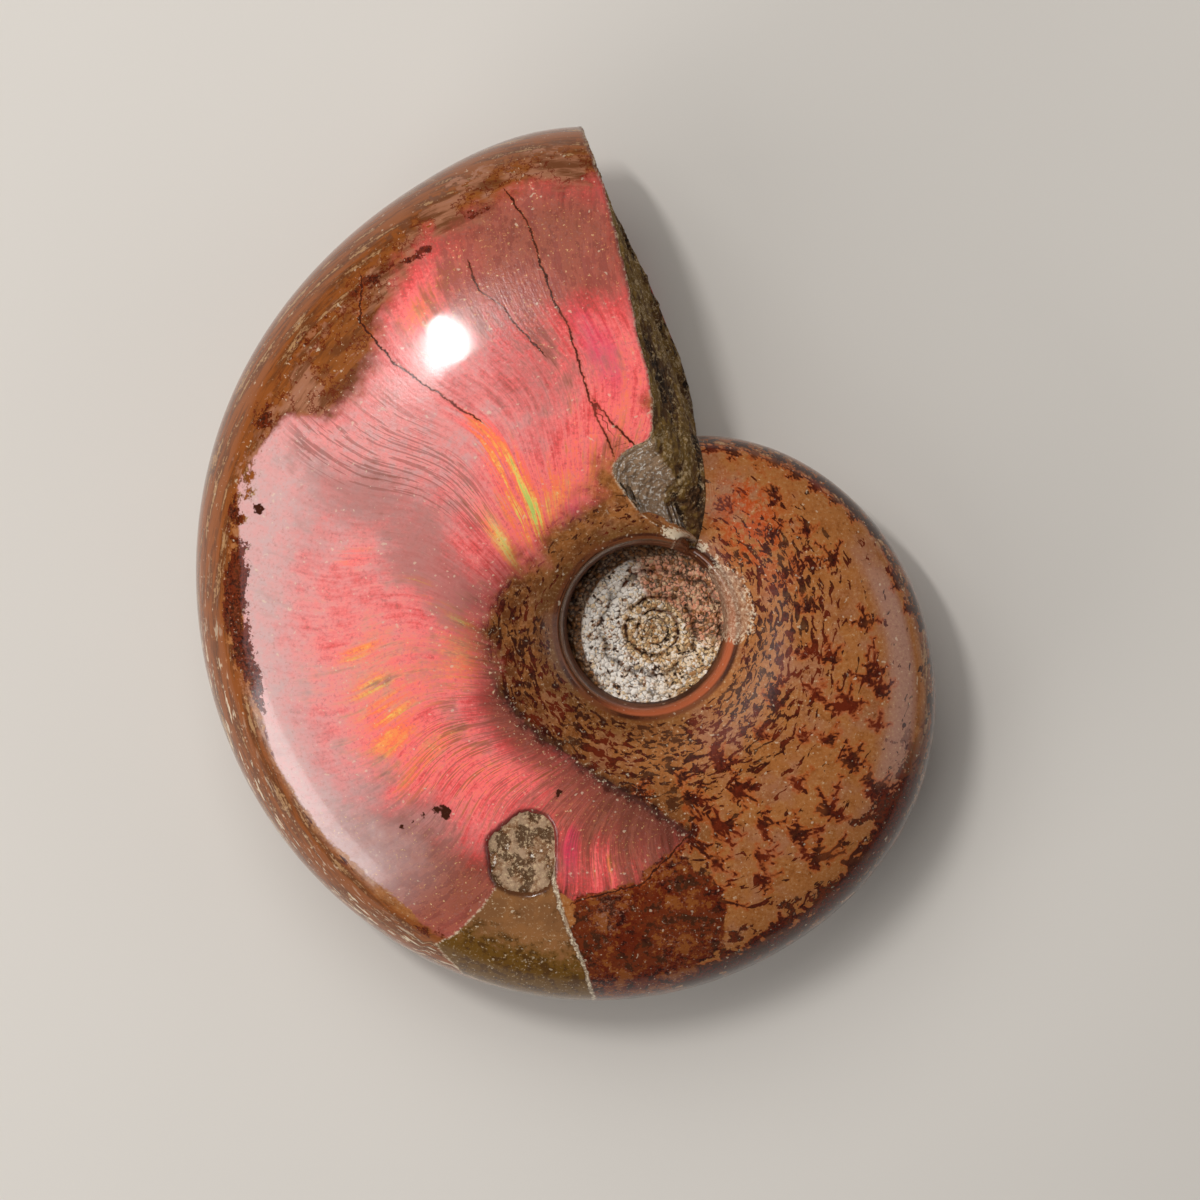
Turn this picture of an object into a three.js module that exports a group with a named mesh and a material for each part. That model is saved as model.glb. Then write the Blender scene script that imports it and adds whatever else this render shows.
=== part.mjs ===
// A polished ammonite fossil lying on its flank: one solid stone, coiled in one plane.
// Millimetres and degrees, +Z up. The coil opens anticlockwise from the break, seen from above.
import * as THREE from "three";

// The venter, which is the outer edge of the coil: [angle round the coil, distance from the pole].
const VENTER = [
  [90, 48.9],
  [104, 50.0],
  [120, 49.2],
  [150, 47.7],
  [180, 45.3],
  [216, 42.4],
  [252, 39.3],
  [288, 35.7],
  [324, 32.1],
  [360, 27.2],
  [396, 22.9],
  [440, 18.8],
];

// The whorl's cross-section, in shares of its reach from the umbilical rim to the venter.
const WIDTH_SHARE = 0.27; // half the whorl's thickness over the venter's distance from the pole
const CREST_AT = 0.33; // where the flank is thickest
const CREST_ROW = 0.3; // the same place, counted in rows of the mesh
const RIM_HEIGHT = 0.74; // height of the umbilical rim over the crest's
const SHOULDER_POWER = 2.35; // 2 is an ellipse, more makes the ventral shoulder squarer

// The umbilicus, a round pit on each side that shows the inner whorls.
const RIM_RADIUS = 8.8;
const RIM_SHIFT = 1.2;
const RIM_SHIFT_TOWARDS = 137;
const FLOOR_RADIUS = 7.9;
const FLOOR_SHIFT = 0.5;
const FLOOR_SHIFT_TOWARDS = 160;
const FLOOR_HEIGHT = 3.6; // of the pit's floor at its wall, over the coil's plane
const FLOOR_LEAN = 0.7;
const FLOOR_LEAN_TOWARDS = 200;
const FLOOR_CENTRE_SHARE = 0.5; // height of the floor's middle over that at its wall
const INNER_WHORL_GROWTH = 2.0; // each inner whorl is this many times the one inside it
const INNER_WHORL_RELIEF = 0.45;
const INNERMOST_RADIUS = 1.0;

// The broken end of the last whorl: the angle of the break at each share of the whorl's reach.
// A chip beside the umbilical rim takes the upper edge back.
const BREAK_ANGLE = 92;
const BREAK_SETTLE = 8; // how soon the mesh forgets the edge's shape: higher is sooner
const BREAK_ABOVE = [
  [0, 77],
  [0.04, 94],
  [0.1, 102],
  [0.16, 105],
  [0.2, 101],
  [0.24, 91.5],
  [0.5, 93.8],
  [0.8, 96.4],
  [1, 98.3],
];
const BREAK_BELOW = [
  [0, 70],
  [0.26, 76],
  [0.53, 87],
  [0.8, 95],
  [1, 98.3],
];
// Where the break runs out on the whorl before, which comes out from under it.
const BREAK_FOOT = [
  [0, 421.6],
  [0.4, 427.7],
  [0.65, 431.8],
  [1, 437],
];
const BREAK_ROUGHNESS = 0.45;

// The window near the venter where the shell has flaked off the stone inside.
const WINDOW_ANGLE = 240.5;
const WINDOW_RADIUS = 25.4;
const WINDOW_HALF_WIDTH = 3.2;
const WINDOW_HALF_LENGTH = 4.0;
const WINDOW_DEPTH = 0.55;

// Faint folds that follow the growth lines across the flank.
const FOLD_HEIGHT = 0.16;
const FOLD_SPACING = 17;
const GROWTH_SWING = 16; // how far a growth line leans back on its way to the venter

// How it lies: the coil's plane leans a little, because the last whorl is the thickest.
const REST_TILT = 3.4;
const REST_TILT_TOWARDS = 276.7;
const REST_FLAT = 0.45; // depth of the worn spots that it lies on

const SWEEP_COLUMNS = 120;
const BREAK_COLUMNS = 8;
const ROWS_ABOVE = [0, 0.03, 0.08, 0.16, 0.25, 0.34, 0.43, 0.52, 0.61, 0.7, 0.79, 0.87, 0.94, 1];
const ROWS_BELOW = [1, 0.93, 0.85, 0.74, 0.61, 0.49, 0.4, 0.33, 0.26, 0.18, 0.07, 0];
const PIT_RINGS_ABOVE = [1, 0.9, 0.78, 0.66, 0.54, 0.42, 0.3, 0.16];
const PIT_RINGS_BELOW = [1, 0.78, 0.54, 0.3];

const radians = THREE.MathUtils.degToRad;

// A smooth curve through [x, y] points: cubic pieces whose slope at a point joins its neighbours.
function through(points, x) {
  const last = points.length - 2;
  let k = 0;
  while (k < last && x > points[k + 1][0]) k += 1;
  const slope = (i) => {
    const before = points[Math.max(i - 1, 0)];
    const after = points[Math.min(i + 1, points.length - 1)];
    return (after[1] - before[1]) / (after[0] - before[0]);
  };
  const [x0, y0] = points[k];
  const [x1, y1] = points[k + 1];
  const span = x1 - x0;
  const t = THREE.MathUtils.clamp((x - x0) / span, 0, 1);
  const a = (1 + 2 * t) * (1 - t) * (1 - t) * y0 + t * t * (3 - 2 * t) * y1;
  return a + span * (t * (1 - t) * (1 - t) * slope(k) - t * t * (1 - t) * slope(k + 1));
}

const towards = (angle, direction) => Math.cos(radians(angle - direction));
const venterRadius = (angle) => through(VENTER, angle);
const rimRadius = (angle) => RIM_RADIUS + RIM_SHIFT * towards(angle, RIM_SHIFT_TOWARDS);
const floorRadius = (angle) => FLOOR_RADIUS + FLOOR_SHIFT * towards(angle, FLOOR_SHIFT_TOWARDS);
const floorHeight = (angle) => FLOOR_HEIGHT + FLOOR_LEAN * towards(angle, FLOOR_LEAN_TOWARDS);

// The cross-section at a row: its share of the whorl's reach, and its height over the crest's.
function section(row) {
  if (row < CREST_ROW) {
    const up = row / CREST_ROW;
    return [CREST_AT * up, 1 - (1 - RIM_HEIGHT) * (1 - up) ** 2];
  }
  const turn = ((row - CREST_ROW) / (1 - CREST_ROW)) * (Math.PI / 2);
  const share = Math.sin(turn) ** (2 / SHOULDER_POWER);
  const height = Math.max(Math.cos(turn), 0) ** (2 / SHOULDER_POWER);
  return [CREST_AT + (1 - CREST_AT) * share, height];
}

// Repeatable roughness between -1 and 1 for broken stone.
function grain(x, y, z) {
  const lumps = Math.sin(x * 1.7 + z * 2.3) + Math.sin(y * 2.1 - z * 1.3 + 1);
  const chips = Math.sin(x * 3.7 - y * 3.1);
  return (lumps + chips) / 3;
}

// A point on the outside of the whorl. side is 1 above the coil's plane and -1 below it.
function flankPoint(angle, row, side) {
  const [share, height] = section(row);
  const radius = rimRadius(angle) + (venterRadius(angle) - rimRadius(angle)) * share;
  const growth = angle + GROWTH_SWING * share * share;
  const fold = FOLD_HEIGHT * Math.sin((growth / FOLD_SPACING) * 2 * Math.PI) * Math.sin(Math.PI * share);
  const along = Math.abs(radius * Math.sin(radians(angle - WINDOW_ANGLE)));
  const across = Math.abs(radius - WINDOW_RADIUS);
  const inWindow = Math.hypot(along / WINDOW_HALF_WIDTH, across / WINDOW_HALF_LENGTH) < 1 && side > 0;
  const z = WIDTH_SHARE * venterRadius(angle) * height + (inWindow ? -WINDOW_DEPTH : fold);
  return polar(angle, radius, side * z);
}

function polar(angle, radius, z) {
  return new THREE.Vector3(radius * Math.cos(radians(angle)), radius * Math.sin(radians(angle)), z);
}

// A point on the pit's floor, where the inner whorls stand as a spiral of low ridges.
function floorPoint(angle, share, side) {
  const radius = floorRadius(angle) * share;
  const growth = Math.max(radius / INNERMOST_RADIUS, 1);
  const turns = Math.log(growth) / Math.log(INNER_WHORL_GROWTH);
  const across = turns + angle / 360 - Math.floor(turns + angle / 360);
  const ridge = INNER_WHORL_RELIEF * (Math.sin(Math.PI * across) - 0.5);
  const base = floorHeight(angle) * (FLOOR_CENTRE_SHARE + (1 - FLOOR_CENTRE_SHARE) * share);
  return polar(angle, radius, side * (base + ridge * Math.min(share * 3, 1)));
}

const breakAngle = (share, side) => through(side > 0 ? BREAK_ABOVE : BREAK_BELOW, share);
const footAngle = (share) => through(BREAK_FOOT, share);

// One column of the mesh goes from the upper pit over the whorl to the lower pit.
function column(whorlPoints, rimAngleAt) {
  return [
    ...PIT_RINGS_ABOVE.toReversed().map((share) => floorPoint(rimAngleAt(1), share, 1)),
    ...whorlPoints,
    ...PIT_RINGS_BELOW.map((share) => floorPoint(rimAngleAt(-1), share, -1)),
  ];
}

// The whorl, from the edge of the break, at 0, once round to the foot of the break, at 1.
function sweepColumn(along) {
  const settle = (1 - along) ** BREAK_SETTLE;
  const angleAt = (share, side) => {
    const plain = THREE.MathUtils.lerp(BREAK_ANGLE, footAngle(share), along);
    return plain + (breakAngle(share, side) - BREAK_ANGLE) * settle;
  };
  const pointAt = (side) => (row) => flankPoint(angleAt(section(row)[0], side), row, side);
  const whorl = [...ROWS_ABOVE.map(pointAt(1)), ...ROWS_BELOW.slice(1).map(pointAt(-1))];
  return column(whorl, (side) => angleAt(0, side));
}

// The broken face runs from the whorl before, at 0, out to the edge of the last whorl, at 1.
function breakColumn(along, foot, edge) {
  const middle = Math.sin(Math.PI * along);
  const first = PIT_RINGS_ABOVE.length;
  const whorl = foot.slice(first, foot.length - PIT_RINGS_BELOW.length).map((point, i) => {
    const place = point.clone().lerp(edge[first + i], along);
    place.x += BREAK_ROUGHNESS * grain(place.x, place.y, place.z) * middle;
    return place;
  });
  return column(whorl, (side) => THREE.MathUtils.lerp(footAngle(0), breakAngle(0, side) + 360, along));
}

function ammoniteGeometry() {
  const columns = [];
  for (let i = 0; i <= SWEEP_COLUMNS; i += 1) columns.push(sweepColumn(i / SWEEP_COLUMNS));
  const foot = columns[SWEEP_COLUMNS];
  const edge = columns[0];
  for (let i = 1; i < BREAK_COLUMNS; i += 1) columns.push(breakColumn(i / BREAK_COLUMNS, foot, edge));

  const rows = foot.length;
  const positions = columns.flat().flatMap((point) => point.toArray());
  const centreHeight = FLOOR_HEIGHT * FLOOR_CENTRE_SHARE;
  const topCentre = positions.length / 3;
  positions.push(0, 0, centreHeight, 0, 0, -centreHeight);
  const triangles = [];
  columns.forEach((_, i) => {
    const a = i * rows;
    const b = ((i + 1) % columns.length) * rows;
    triangles.push(topCentre, a, b);
    for (let j = 0; j + 1 < rows; j += 1) {
      triangles.push(a + j, a + j + 1, b + j, b + j, a + j + 1, b + j + 1);
    }
    triangles.push(topCentre + 1, b + rows - 1, a + rows - 1);
  });
  return new THREE.BufferGeometry()
    .setAttribute("position", new THREE.Float32BufferAttribute(positions, 3))
    .setIndex(triangles);
}

// Leans the fossil as it lies, wears its lowest spots flat, and stands it on Z 0 over the origin.
function layDown(geometry) {
  const direction = radians(REST_TILT_TOWARDS);
  const axis = new THREE.Vector3(-Math.sin(direction), Math.cos(direction), 0);
  geometry.applyMatrix4(new THREE.Matrix4().makeRotationAxis(axis, radians(REST_TILT)));
  geometry.computeBoundingBox();
  const { min, max } = geometry.boundingBox;
  const ground = min.z + REST_FLAT;
  const position = geometry.attributes.position;
  for (let i = 0; i < position.count; i += 1) position.setZ(i, Math.max(position.getZ(i), ground));
  geometry.translate(-(min.x + max.x) / 2, -(min.y + max.y) / 2, -ground);
  return geometry;
}

const stone = new THREE.MeshStandardMaterial({ color: 0xa8603f, roughness: 0.3, metalness: 0 });
const ammonite = new THREE.Mesh(layDown(ammoniteGeometry()), stone);
ammonite.name = "ammonite";

const fossil = new THREE.Group();
fossil.add(ammonite);

export default fossil;
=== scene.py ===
"""The looks of a polished ammonite fossil that lies on its flank.

The outer skin, the broken face, the crusts in the two pits and the stone that shows through a
window in the shell are separate closed meshes. Shapes are worked out in millimetres and degrees
about the pole, the middle of the coil, and then laid down as the fossil rests.
"""
import math
import random

import bpy
import numpy as np
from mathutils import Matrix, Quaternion, Vector, noise


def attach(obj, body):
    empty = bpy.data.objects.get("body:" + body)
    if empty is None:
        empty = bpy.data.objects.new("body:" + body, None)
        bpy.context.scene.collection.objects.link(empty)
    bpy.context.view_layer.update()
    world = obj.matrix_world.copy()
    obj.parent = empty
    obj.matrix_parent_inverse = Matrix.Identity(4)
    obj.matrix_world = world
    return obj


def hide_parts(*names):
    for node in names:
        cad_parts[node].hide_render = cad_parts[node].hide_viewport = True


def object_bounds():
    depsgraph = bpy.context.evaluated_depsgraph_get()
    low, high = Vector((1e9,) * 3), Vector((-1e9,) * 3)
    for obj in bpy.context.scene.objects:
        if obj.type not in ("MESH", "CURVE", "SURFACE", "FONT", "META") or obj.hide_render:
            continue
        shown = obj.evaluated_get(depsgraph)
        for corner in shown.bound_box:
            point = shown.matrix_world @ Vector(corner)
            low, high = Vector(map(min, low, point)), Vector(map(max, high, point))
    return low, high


bl_info = {
    "name": "Polished Ammonite",
    "version": (1, 0, 0),
    "blender": (4, 5, 0),
    "location": "3D View > Sidebar > Ammonite",
    "description": "Builds the skin, broken face, crusts and stage of a polished ammonite fossil",
    "category": "Object",
}

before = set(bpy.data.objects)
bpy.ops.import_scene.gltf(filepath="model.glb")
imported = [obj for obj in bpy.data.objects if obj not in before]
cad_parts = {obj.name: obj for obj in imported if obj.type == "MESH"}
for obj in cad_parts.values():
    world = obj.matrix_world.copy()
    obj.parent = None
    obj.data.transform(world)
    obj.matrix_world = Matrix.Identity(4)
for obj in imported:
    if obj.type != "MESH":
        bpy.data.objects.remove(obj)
CAD_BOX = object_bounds()

NODE = "ammonite"
BODY = "root"
MM = 0.001
FULL_TURN = 360.0
# Keeps a division from failing where a length is nothing.
TINY = 1e-9

# The venter, the outer edge of the coil: angle round the coil, distance from the pole.
VENTER = (
    (90, 48.9), (104, 50.0), (120, 49.2), (150, 47.7), (180, 45.3), (216, 42.4),
    (252, 39.3), (288, 35.7), (324, 32.1), (360, 27.2), (396, 22.9), (440, 18.8),
)
# The angle of the break at each share of the way from the umbilical rim to the venter.
BREAK_ABOVE = (
    (0, 77), (0.04, 94), (0.1, 102), (0.16, 105), (0.2, 101), (0.24, 91.5),
    (0.5, 93.8), (0.8, 96.4), (1, 98.3),
)
BREAK_BELOW = ((0, 70), (0.26, 76), (0.53, 87), (0.8, 95), (1, 98.3))
BREAK_FOOT = ((0, 421.6), (0.4, 427.7), (0.65, 431.8), (1, 437))
BREAK_ANGLE = 92.0
BREAK_SETTLE = 8
SWEEP_END = 432.0
# A place inside the stone behind the broken face, in millimetres about the pole.
INSIDE = (-5.0, 32.0, 0.0)
# How far a growth line runs ahead of its angle, at each share.
GROWTH_LINE = ((0, 18), (0.1, 12), (0.2, 4), (0.38, -2), (0.6, 1.5), (0.8, 0.5), (1, -3))

# Outlines on the flank as (angle, share) corners.
NACRE_OUTLINE = (
    (86, 0.2), (106, 0.19), (112, 0.13), (130, 0.11), (150, 0.11), (162, 0.14), (171, 0.19), (183, 0.2),
    (201, 0.2), (216, 0.19), (231, 0.18), (249, 0.21), (265, 0.27), (280, 0.42), (275.5, 0.455),
    (270, 0.52), (266.6, 0.56), (260, 0.578), (253.8, 0.627), (249, 0.6), (241, 0.7), (241, 0.86),
    (238, 0.93), (228, 0.85), (220.6, 0.85), (212.8, 0.866), (199.4, 0.873), (181.7, 0.86),
    (170.7, 0.857), (165.5, 0.874), (160.8, 0.9), (156, 0.866), (150, 0.83), (147, 0.73),
    (141, 0.68), (134, 0.72), (127, 0.83), (120, 0.88), (112, 0.85), (104, 0.87), (86, 0.86),
)
OLIVE_OUTLINE = (
    (236, 0.62), (238.5, 0.654), (238.3, 0.731), (237, 0.855), (235.5, 0.918), (241.8, 0.985),
    (249.6, 0.995), (255.8, 0.995), (261.3, 0.985), (257.9, 0.829), (254.2, 0.729), (249.8, 0.6),
    (246, 0.5),
)
WINDOW_OUTLINE = (
    (234.2, 0.584), (231.4, 0.53), (232, 0.47), (233.7, 0.399), (238.6, 0.376), (243.3, 0.403),
    (246.3, 0.482), (248.1, 0.576), (244.5, 0.64), (239.5, 0.65), (236.5, 0.63),
)
DARK_STONE_OUTLINE = (
    (254, 0.62), (262, 0.6), (268, 0.56), (274, 0.5), (281, 0.56), (284, 0.72), (281, 0.84),
    (274, 0.93), (262, 0.99), (258, 0.85), (254.5, 0.74),
)
# Cracks as runs of (angle, share) places.
CRACKS = (
    ((108.8, 0.866), (107.5, 0.78), (107.4, 0.738), (107.4, 0.595), (106, 0.509), (106.1, 0.411),
     (105.6, 0.301), (103.9, 0.206)),
    ((116.9, 0.75), (117.5, 0.685), (115.4, 0.625), (114.3, 0.555), (112.2, 0.484)),
    ((106.2, 0.36), (103.6, 0.3), (100, 0.25), (96.5, 0.215)),
    ((130, 0.882), (133.8, 0.813), (134.4, 0.677), (132.3, 0.53), (130.1, 0.434)),
    ((280, 0.42), (275.5, 0.455), (270, 0.52), (266.6, 0.562), (260.2, 0.578), (253.8, 0.627)),
)
PALE_CRACK = ((246.2, 0.5), (248.1, 0.576), (254.2, 0.729), (257.9, 0.829), (261.3, 1.0))
SEAM = (
    (160, 0.14), (170.2, 0.2), (183.4, 0.197), (201.2, 0.199), (216.1, 0.187), (230.6, 0.18),
    (248.9, 0.21), (264.8, 0.273), (279.8, 0.422),
)
# Patches of colour in the nacre: angle, share, width across and length along the growth lines, strength.
FLASHES = (
    (135, 0.27, 1.5, 4.6, 1.0), (131, 0.36, 1.5, 7.0, 0.6), (138.5, 0.17, 1.3, 4.0, 0.7),
    (126, 0.24, 2.2, 4.5, 0.4), (113, 0.3, 2.2, 4.5, 0.2), (107, 0.32, 1.6, 5.0, 0.15),
    (101, 0.44, 2.2, 6.0, 0.1), (101, 0.25, 1.8, 2.0, 0.35), (168.5, 0.385, 0.5, 1.6, 0.9),
    (172, 0.325, 0.5, 2.0, 1.0), (176, 0.28, 0.5, 1.6, 0.8), (167, 0.57, 1.2, 2.0, 0.35),
    (184.7, 0.56, 1.0, 2.2, 0.5), (191.7, 0.55, 1.0, 2.4, 0.5), (197, 0.53, 1.2, 2.6, 0.6),
    (203, 0.55, 1.2, 2.6, 0.6), (213.8, 0.6, 1.6, 3.6, 0.5), (207, 0.36, 1.6, 3.5, 0.3),
    (232, 0.24, 3.0, 3.0, 0.4), (97, 0.83, 0.6, 2.6, 0.6),
)
BRIGHT_PATCHES = (
    (124, 0.17, 4.0, 3.5, 0.9), (147, 0.24, 0.8, 3.0, 1.3), (152, 0.18, 0.8, 3.4, 1.5),
    (101, 0.34, 6.0, 9.0, 0.3), (98, 0.55, 3.4, 9.0, 0.45), (121, 0.82, 3.0, 3.0, 1.1),
    (126.5, 0.77, 2.0, 2.4, 1.1), (116, 0.83, 1.6, 2.0, 0.8), (185, 0.56, 13.0, 8.0, 0.5),
    (213, 0.48, 11.0, 9.0, 0.5), (190, 0.27, 6.0, 3.0, 0.9), (243, 0.33, 1.6, 7.0, 1.1),
    (248.5, 0.33, 1.0, 6.0, 1.3), (255.5, 0.42, 1.3, 6.0, 1.4), (251.5, 0.44, 0.7, 5.0, 1.3),
    (259, 0.42, 0.7, 4.0, 1.0), (266, 0.45, 2.0, 3.0, 1.0), (261.7, 0.51, 2.2, 2.0, 1.0),
    (272, 0.4, 1.8, 2.0, 0.9), (228, 0.32, 6.0, 5.0, 0.5),
)
DULL_PATCHES = (
    (109, 0.1, 5.0, 3.4, 1.0), (134, 0.09, 8.0, 2.0, 0.8), (118, 0.4, 3.0, 6.0, 0.4),
    (262, 0.33, 5.0, 7.0, 0.9), (252, 0.3, 2.4, 6.0, 0.8), (271, 0.38, 4.0, 5.0, 0.9),
    (236, 0.42, 4.0, 7.0, 0.5), (227, 0.74, 8.0, 5.0, 1.2), (219, 0.86, 7.0, 3.0, 0.9),
    (108, 0.86, 12.0, 5.0, 0.8), (98, 0.75, 7.0, 9.0, 0.4), (205, 0.27, 4.0, 4.0, 0.7),
    (220, 0.24, 5.0, 3.0, 0.7), (157, 0.6, 4.0, 5.0, 0.3),
)
# Patches of painted reflection: the milky haze of the lights in the polish, laid into the nacre's colour.
REFLECTION_HAZE_PATCHES = (
    (152, 0.68, 7.0, 7.0, 0.6), (158, 0.86, 8.0, 4.0, 0.9), (172, 0.86, 10.0, 3.4, 0.8),
    (186, 0.88, 11.0, 3.0, 0.7), (202, 0.88, 13.0, 3.0, 0.8), (214, 0.84, 9.0, 3.5, 0.7),
    (134, 0.6, 8.0, 7.0, 0.7), (160, 0.5, 10.0, 9.0, 0.55), (188, 0.62, 14.0, 9.0, 0.35),
    (132, 0.4, 6.0, 5.0, 0.3),
)
MAGENTA_PATCHES = (
    (103, 0.54, 2.4, 5.0, 0.8), (249, 0.47, 1.2, 4.0, 0.75), (268, 0.4, 2.0, 4.0, 0.4),
    (180, 0.36, 6.0, 4.0, 0.3), (224, 0.5, 6.0, 5.0, 0.3), (122, 0.15, 2.4, 2.4, 0.6),
)
GREY_PATCHES = (
    (163, 0.41, 4.2, 4.0, 1.0), (156, 0.6, 3.4, 7.0, 1.0), (170, 0.3, 4.0, 3.0, 0.9),
    (187, 0.36, 3.5, 3.0, 0.4), (207, 0.36, 4.0, 3.0, 0.4), (120, 0.62, 5.0, 6.0, 0.4),
    (219, 0.72, 1.5, 5.5, 1.2), (223, 0.72, 8.0, 5.0, 0.8), (211, 0.62, 4.0, 4.0, 0.2),
    (110, 0.5, 4.0, 4.0, 0.3), (130, 0.1, 6.0, 1.6, 0.8), (168, 0.7, 4.0, 3.0, 0.4),
    (196, 0.74, 5.0, 3.0, 0.3),
)
# Patches where the nacre thins out to brown shell.
BROWN_PATCHES = (
    (106, 0.88, 12.0, 5.5, 1.2), (102, 0.76, 5.0, 4.0, 0.8), (113, 0.66, 3.0, 6.0, 0.7),
    (122, 0.7, 3.4, 4.0, 0.8), (111, 0.78, 7.0, 3.6, 0.9), (108, 0.09, 5.0, 2.6, 1.0),
    (226, 0.78, 9.0, 5.0, 1.4), (232, 0.86, 5.0, 5.0, 1.6), (222, 0.22, 9.0, 2.6, 0.9),
    (204, 0.22, 5.0, 2.0, 0.6), (216, 0.88, 6.0, 2.4, 0.8), (262, 0.28, 6.0, 3.4, 0.9),
    (270, 0.36, 3.0, 3.0, 0.8), (261, 0.42, 1.4, 6.0, 1.2), (252.3, 0.36, 0.8, 6.0, 1.0),
    (236, 0.4, 3.0, 5.0, 0.5), (245, 0.3, 1.6, 6.0, 0.8), (256, 0.3, 3.4, 3.0, 1.0),
    (267, 0.42, 1.2, 5.0, 0.9), (100, 0.3, 2.0, 2.4, 0.7),
)
LINED_PATCHES = (
    (151, 0.74, 2.6, 5.0, 1.0), (148.5, 0.52, 2.4, 6.0, 1.0), (145, 0.36, 2.2, 5.0, 0.8),
    (142, 0.62, 3.5, 7.0, 0.7), (216, 0.5, 6.0, 8.0, 0.6), (208, 0.34, 6.0, 4.0, 0.6),
    (112, 0.5, 6.0, 9.0, 0.5), (260, 0.4, 12.0, 8.0, 0.9),
)
# Dark blots along the venter's border, given as the patches in the nacre are.
DARK_BLOTS = (
    (172, 0.9, 3.4, 1.2, 1.2), (181, 0.9, 3.0, 1.3, 1.2), (188, 0.88, 2.6, 1.0, 1.0),
    (177, 0.93, 2.5, 1.0, 0.8), (164, 0.93, 2.5, 1.0, 0.7), (151, 0.93, 1.8, 1.6, 0.8),
    (139, 0.95, 3.0, 1.0, 0.6), (128, 0.93, 3.0, 0.8, 0.7), (122, 0.91, 3.4, 0.7, 0.6),
    (112, 0.94, 3.0, 0.8, 0.5), (233, 0.94, 2.0, 0.8, 0.6),
)
# Small dark spots: angle, share, radius in millimetres.
DARK_SPOTS = (
    (163.2, 0.821, 0.5), (162.4, 0.845, 0.2), (221.4, 0.538, 0.62), (219.8, 0.56, 0.42),
    (218.9, 0.595, 0.26), (218.4, 0.63, 0.2), (217.9, 0.67, 0.15), (239.5, 0.3, 0.3),
)
# Orange stains: angle, share, radius in millimetres, strength.
ORANGE_STAINS = ((410, 0.42, 3.5, 0.9), (398, 0.3, 2.6, 0.8), (416, 0.6, 2.4, 0.5), (380, 0.3, 1.8, 0.5))
# The scar beside the pit and pale crumbs on the rim, in millimetres in plan about the pole.
SCAR_OUTLINE = (
    (5.8, 6.9), (7.2, 5.6), (8.7, 4.7), (9.4, 2.6), (9.75, 0.9), (9.4, -0.6), (8.1, -1.6),
    (6.4, -2.2), (6.6, 1.5), (6.4, 4.4),
)
CRUMBS = ((3.7, 8.3, 0.8), (4.9, 7.6, 0.5), (1.3, 9.3, 0.8), (2.5, 8.9, 0.8))

# The soft patches that the skin's shader knows, each under its attribute's name.
PATCHES = {
    "flash": FLASHES,
    "bright": BRIGHT_PATCHES,
    "dull": DULL_PATCHES,
    "milky": REFLECTION_HAZE_PATCHES,
    "magenta": MAGENTA_PATCHES,
    "grey": GREY_PATCHES,
    "brown": BROWN_PATCHES,
    "lined": LINED_PATCHES,
    "blot": DARK_BLOTS,
}

# The folds of the shell: share of the height, waves round the coil, shift between the sides.
FOLD_WAVES = ((0.9, 19, 0), (0.1, 61, 40))
# The unevenness of the broken edge: rate along it and phase.
JAG_WAVES = ((61, 0.0), (97, 1.3), (173, 0.4), (29, 2.0))


def srgb(red, green, blue):
    """A colour given as a screen shows it, from 0 to 255, as the linear values that a shader takes."""
    def linear(channel):
        value = channel / 255
        return value / 12.92 if value <= 0.04045 else ((value + 0.055) / 1.055) ** 2.4
    return (linear(red), linear(green), linear(blue), 1.0)


def colour(description, red, green, blue):
    """A colour property, given as a screen shows it."""
    return bpy.props.FloatVectorProperty(
        description=description, subtype="COLOR", size=4, min=0, max=1, default=srgb(red, green, blue))


def length(description, millimetres):
    """A length property, kept in metres."""
    return bpy.props.FloatProperty(
        description=description, unit="LENGTH", default=millimetres * MM, precision=5)


def turn(description, degrees):
    """An angle property, kept in radians."""
    return bpy.props.FloatProperty(
        description=description, subtype="ANGLE", default=math.radians(degrees))


def share(description, value):
    """A property that is a plain share or factor."""
    return bpy.props.FloatProperty(description=description, default=value)


class AmmoniteCoil(bpy.types.PropertyGroup):
    """Sizes of the coiled stone."""

    pole: bpy.props.FloatVectorProperty(
        description="Where the middle of the coil lies", subtype="TRANSLATION",
        size=3, default=(8.637 * MM, -5.591 * MM, 11.836 * MM))
    lean: turn("How far the coil's plane leans as it lies", 3.4)
    lean_towards: turn("The direction in which the coil's plane leans", 276.7)
    width_share: share("Half the whorl's thickness over the venter's distance", 0.27)
    crest_at: share("Where the flank is thickest, from the rim to the venter", 0.33)
    crest_row: share("The crest's place in the rows of the mesh", 0.3)
    rim_height: share("The umbilical rim's height over the crest's", 0.74)
    shoulder_power: share("2 is an ellipse, more is squarer", 2.35)
    rim_radius: length("Radius of the umbilical rim", 8.95)
    rim_shift: length("How far the rim's centre is from the pole", 0.75)
    rim_shift_towards: turn("Direction of that shift", 170)
    floor_radius: length("Radius of the pit's floor", 7.75)
    floor_shift: length("How far the floor's centre is from the pole", 0.85)
    floor_shift_towards: turn("Direction of that shift", 175)
    floor_height: length("Height of the pit's floor at its wall over the coil's plane", 3.6)
    floor_lean: length("How much the floor rises to one side", 0.7)
    floor_lean_towards: turn("The side to which the floor rises", 200)
    floor_centre: share("Height of the floor's middle over that at its wall", 0.5)


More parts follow.
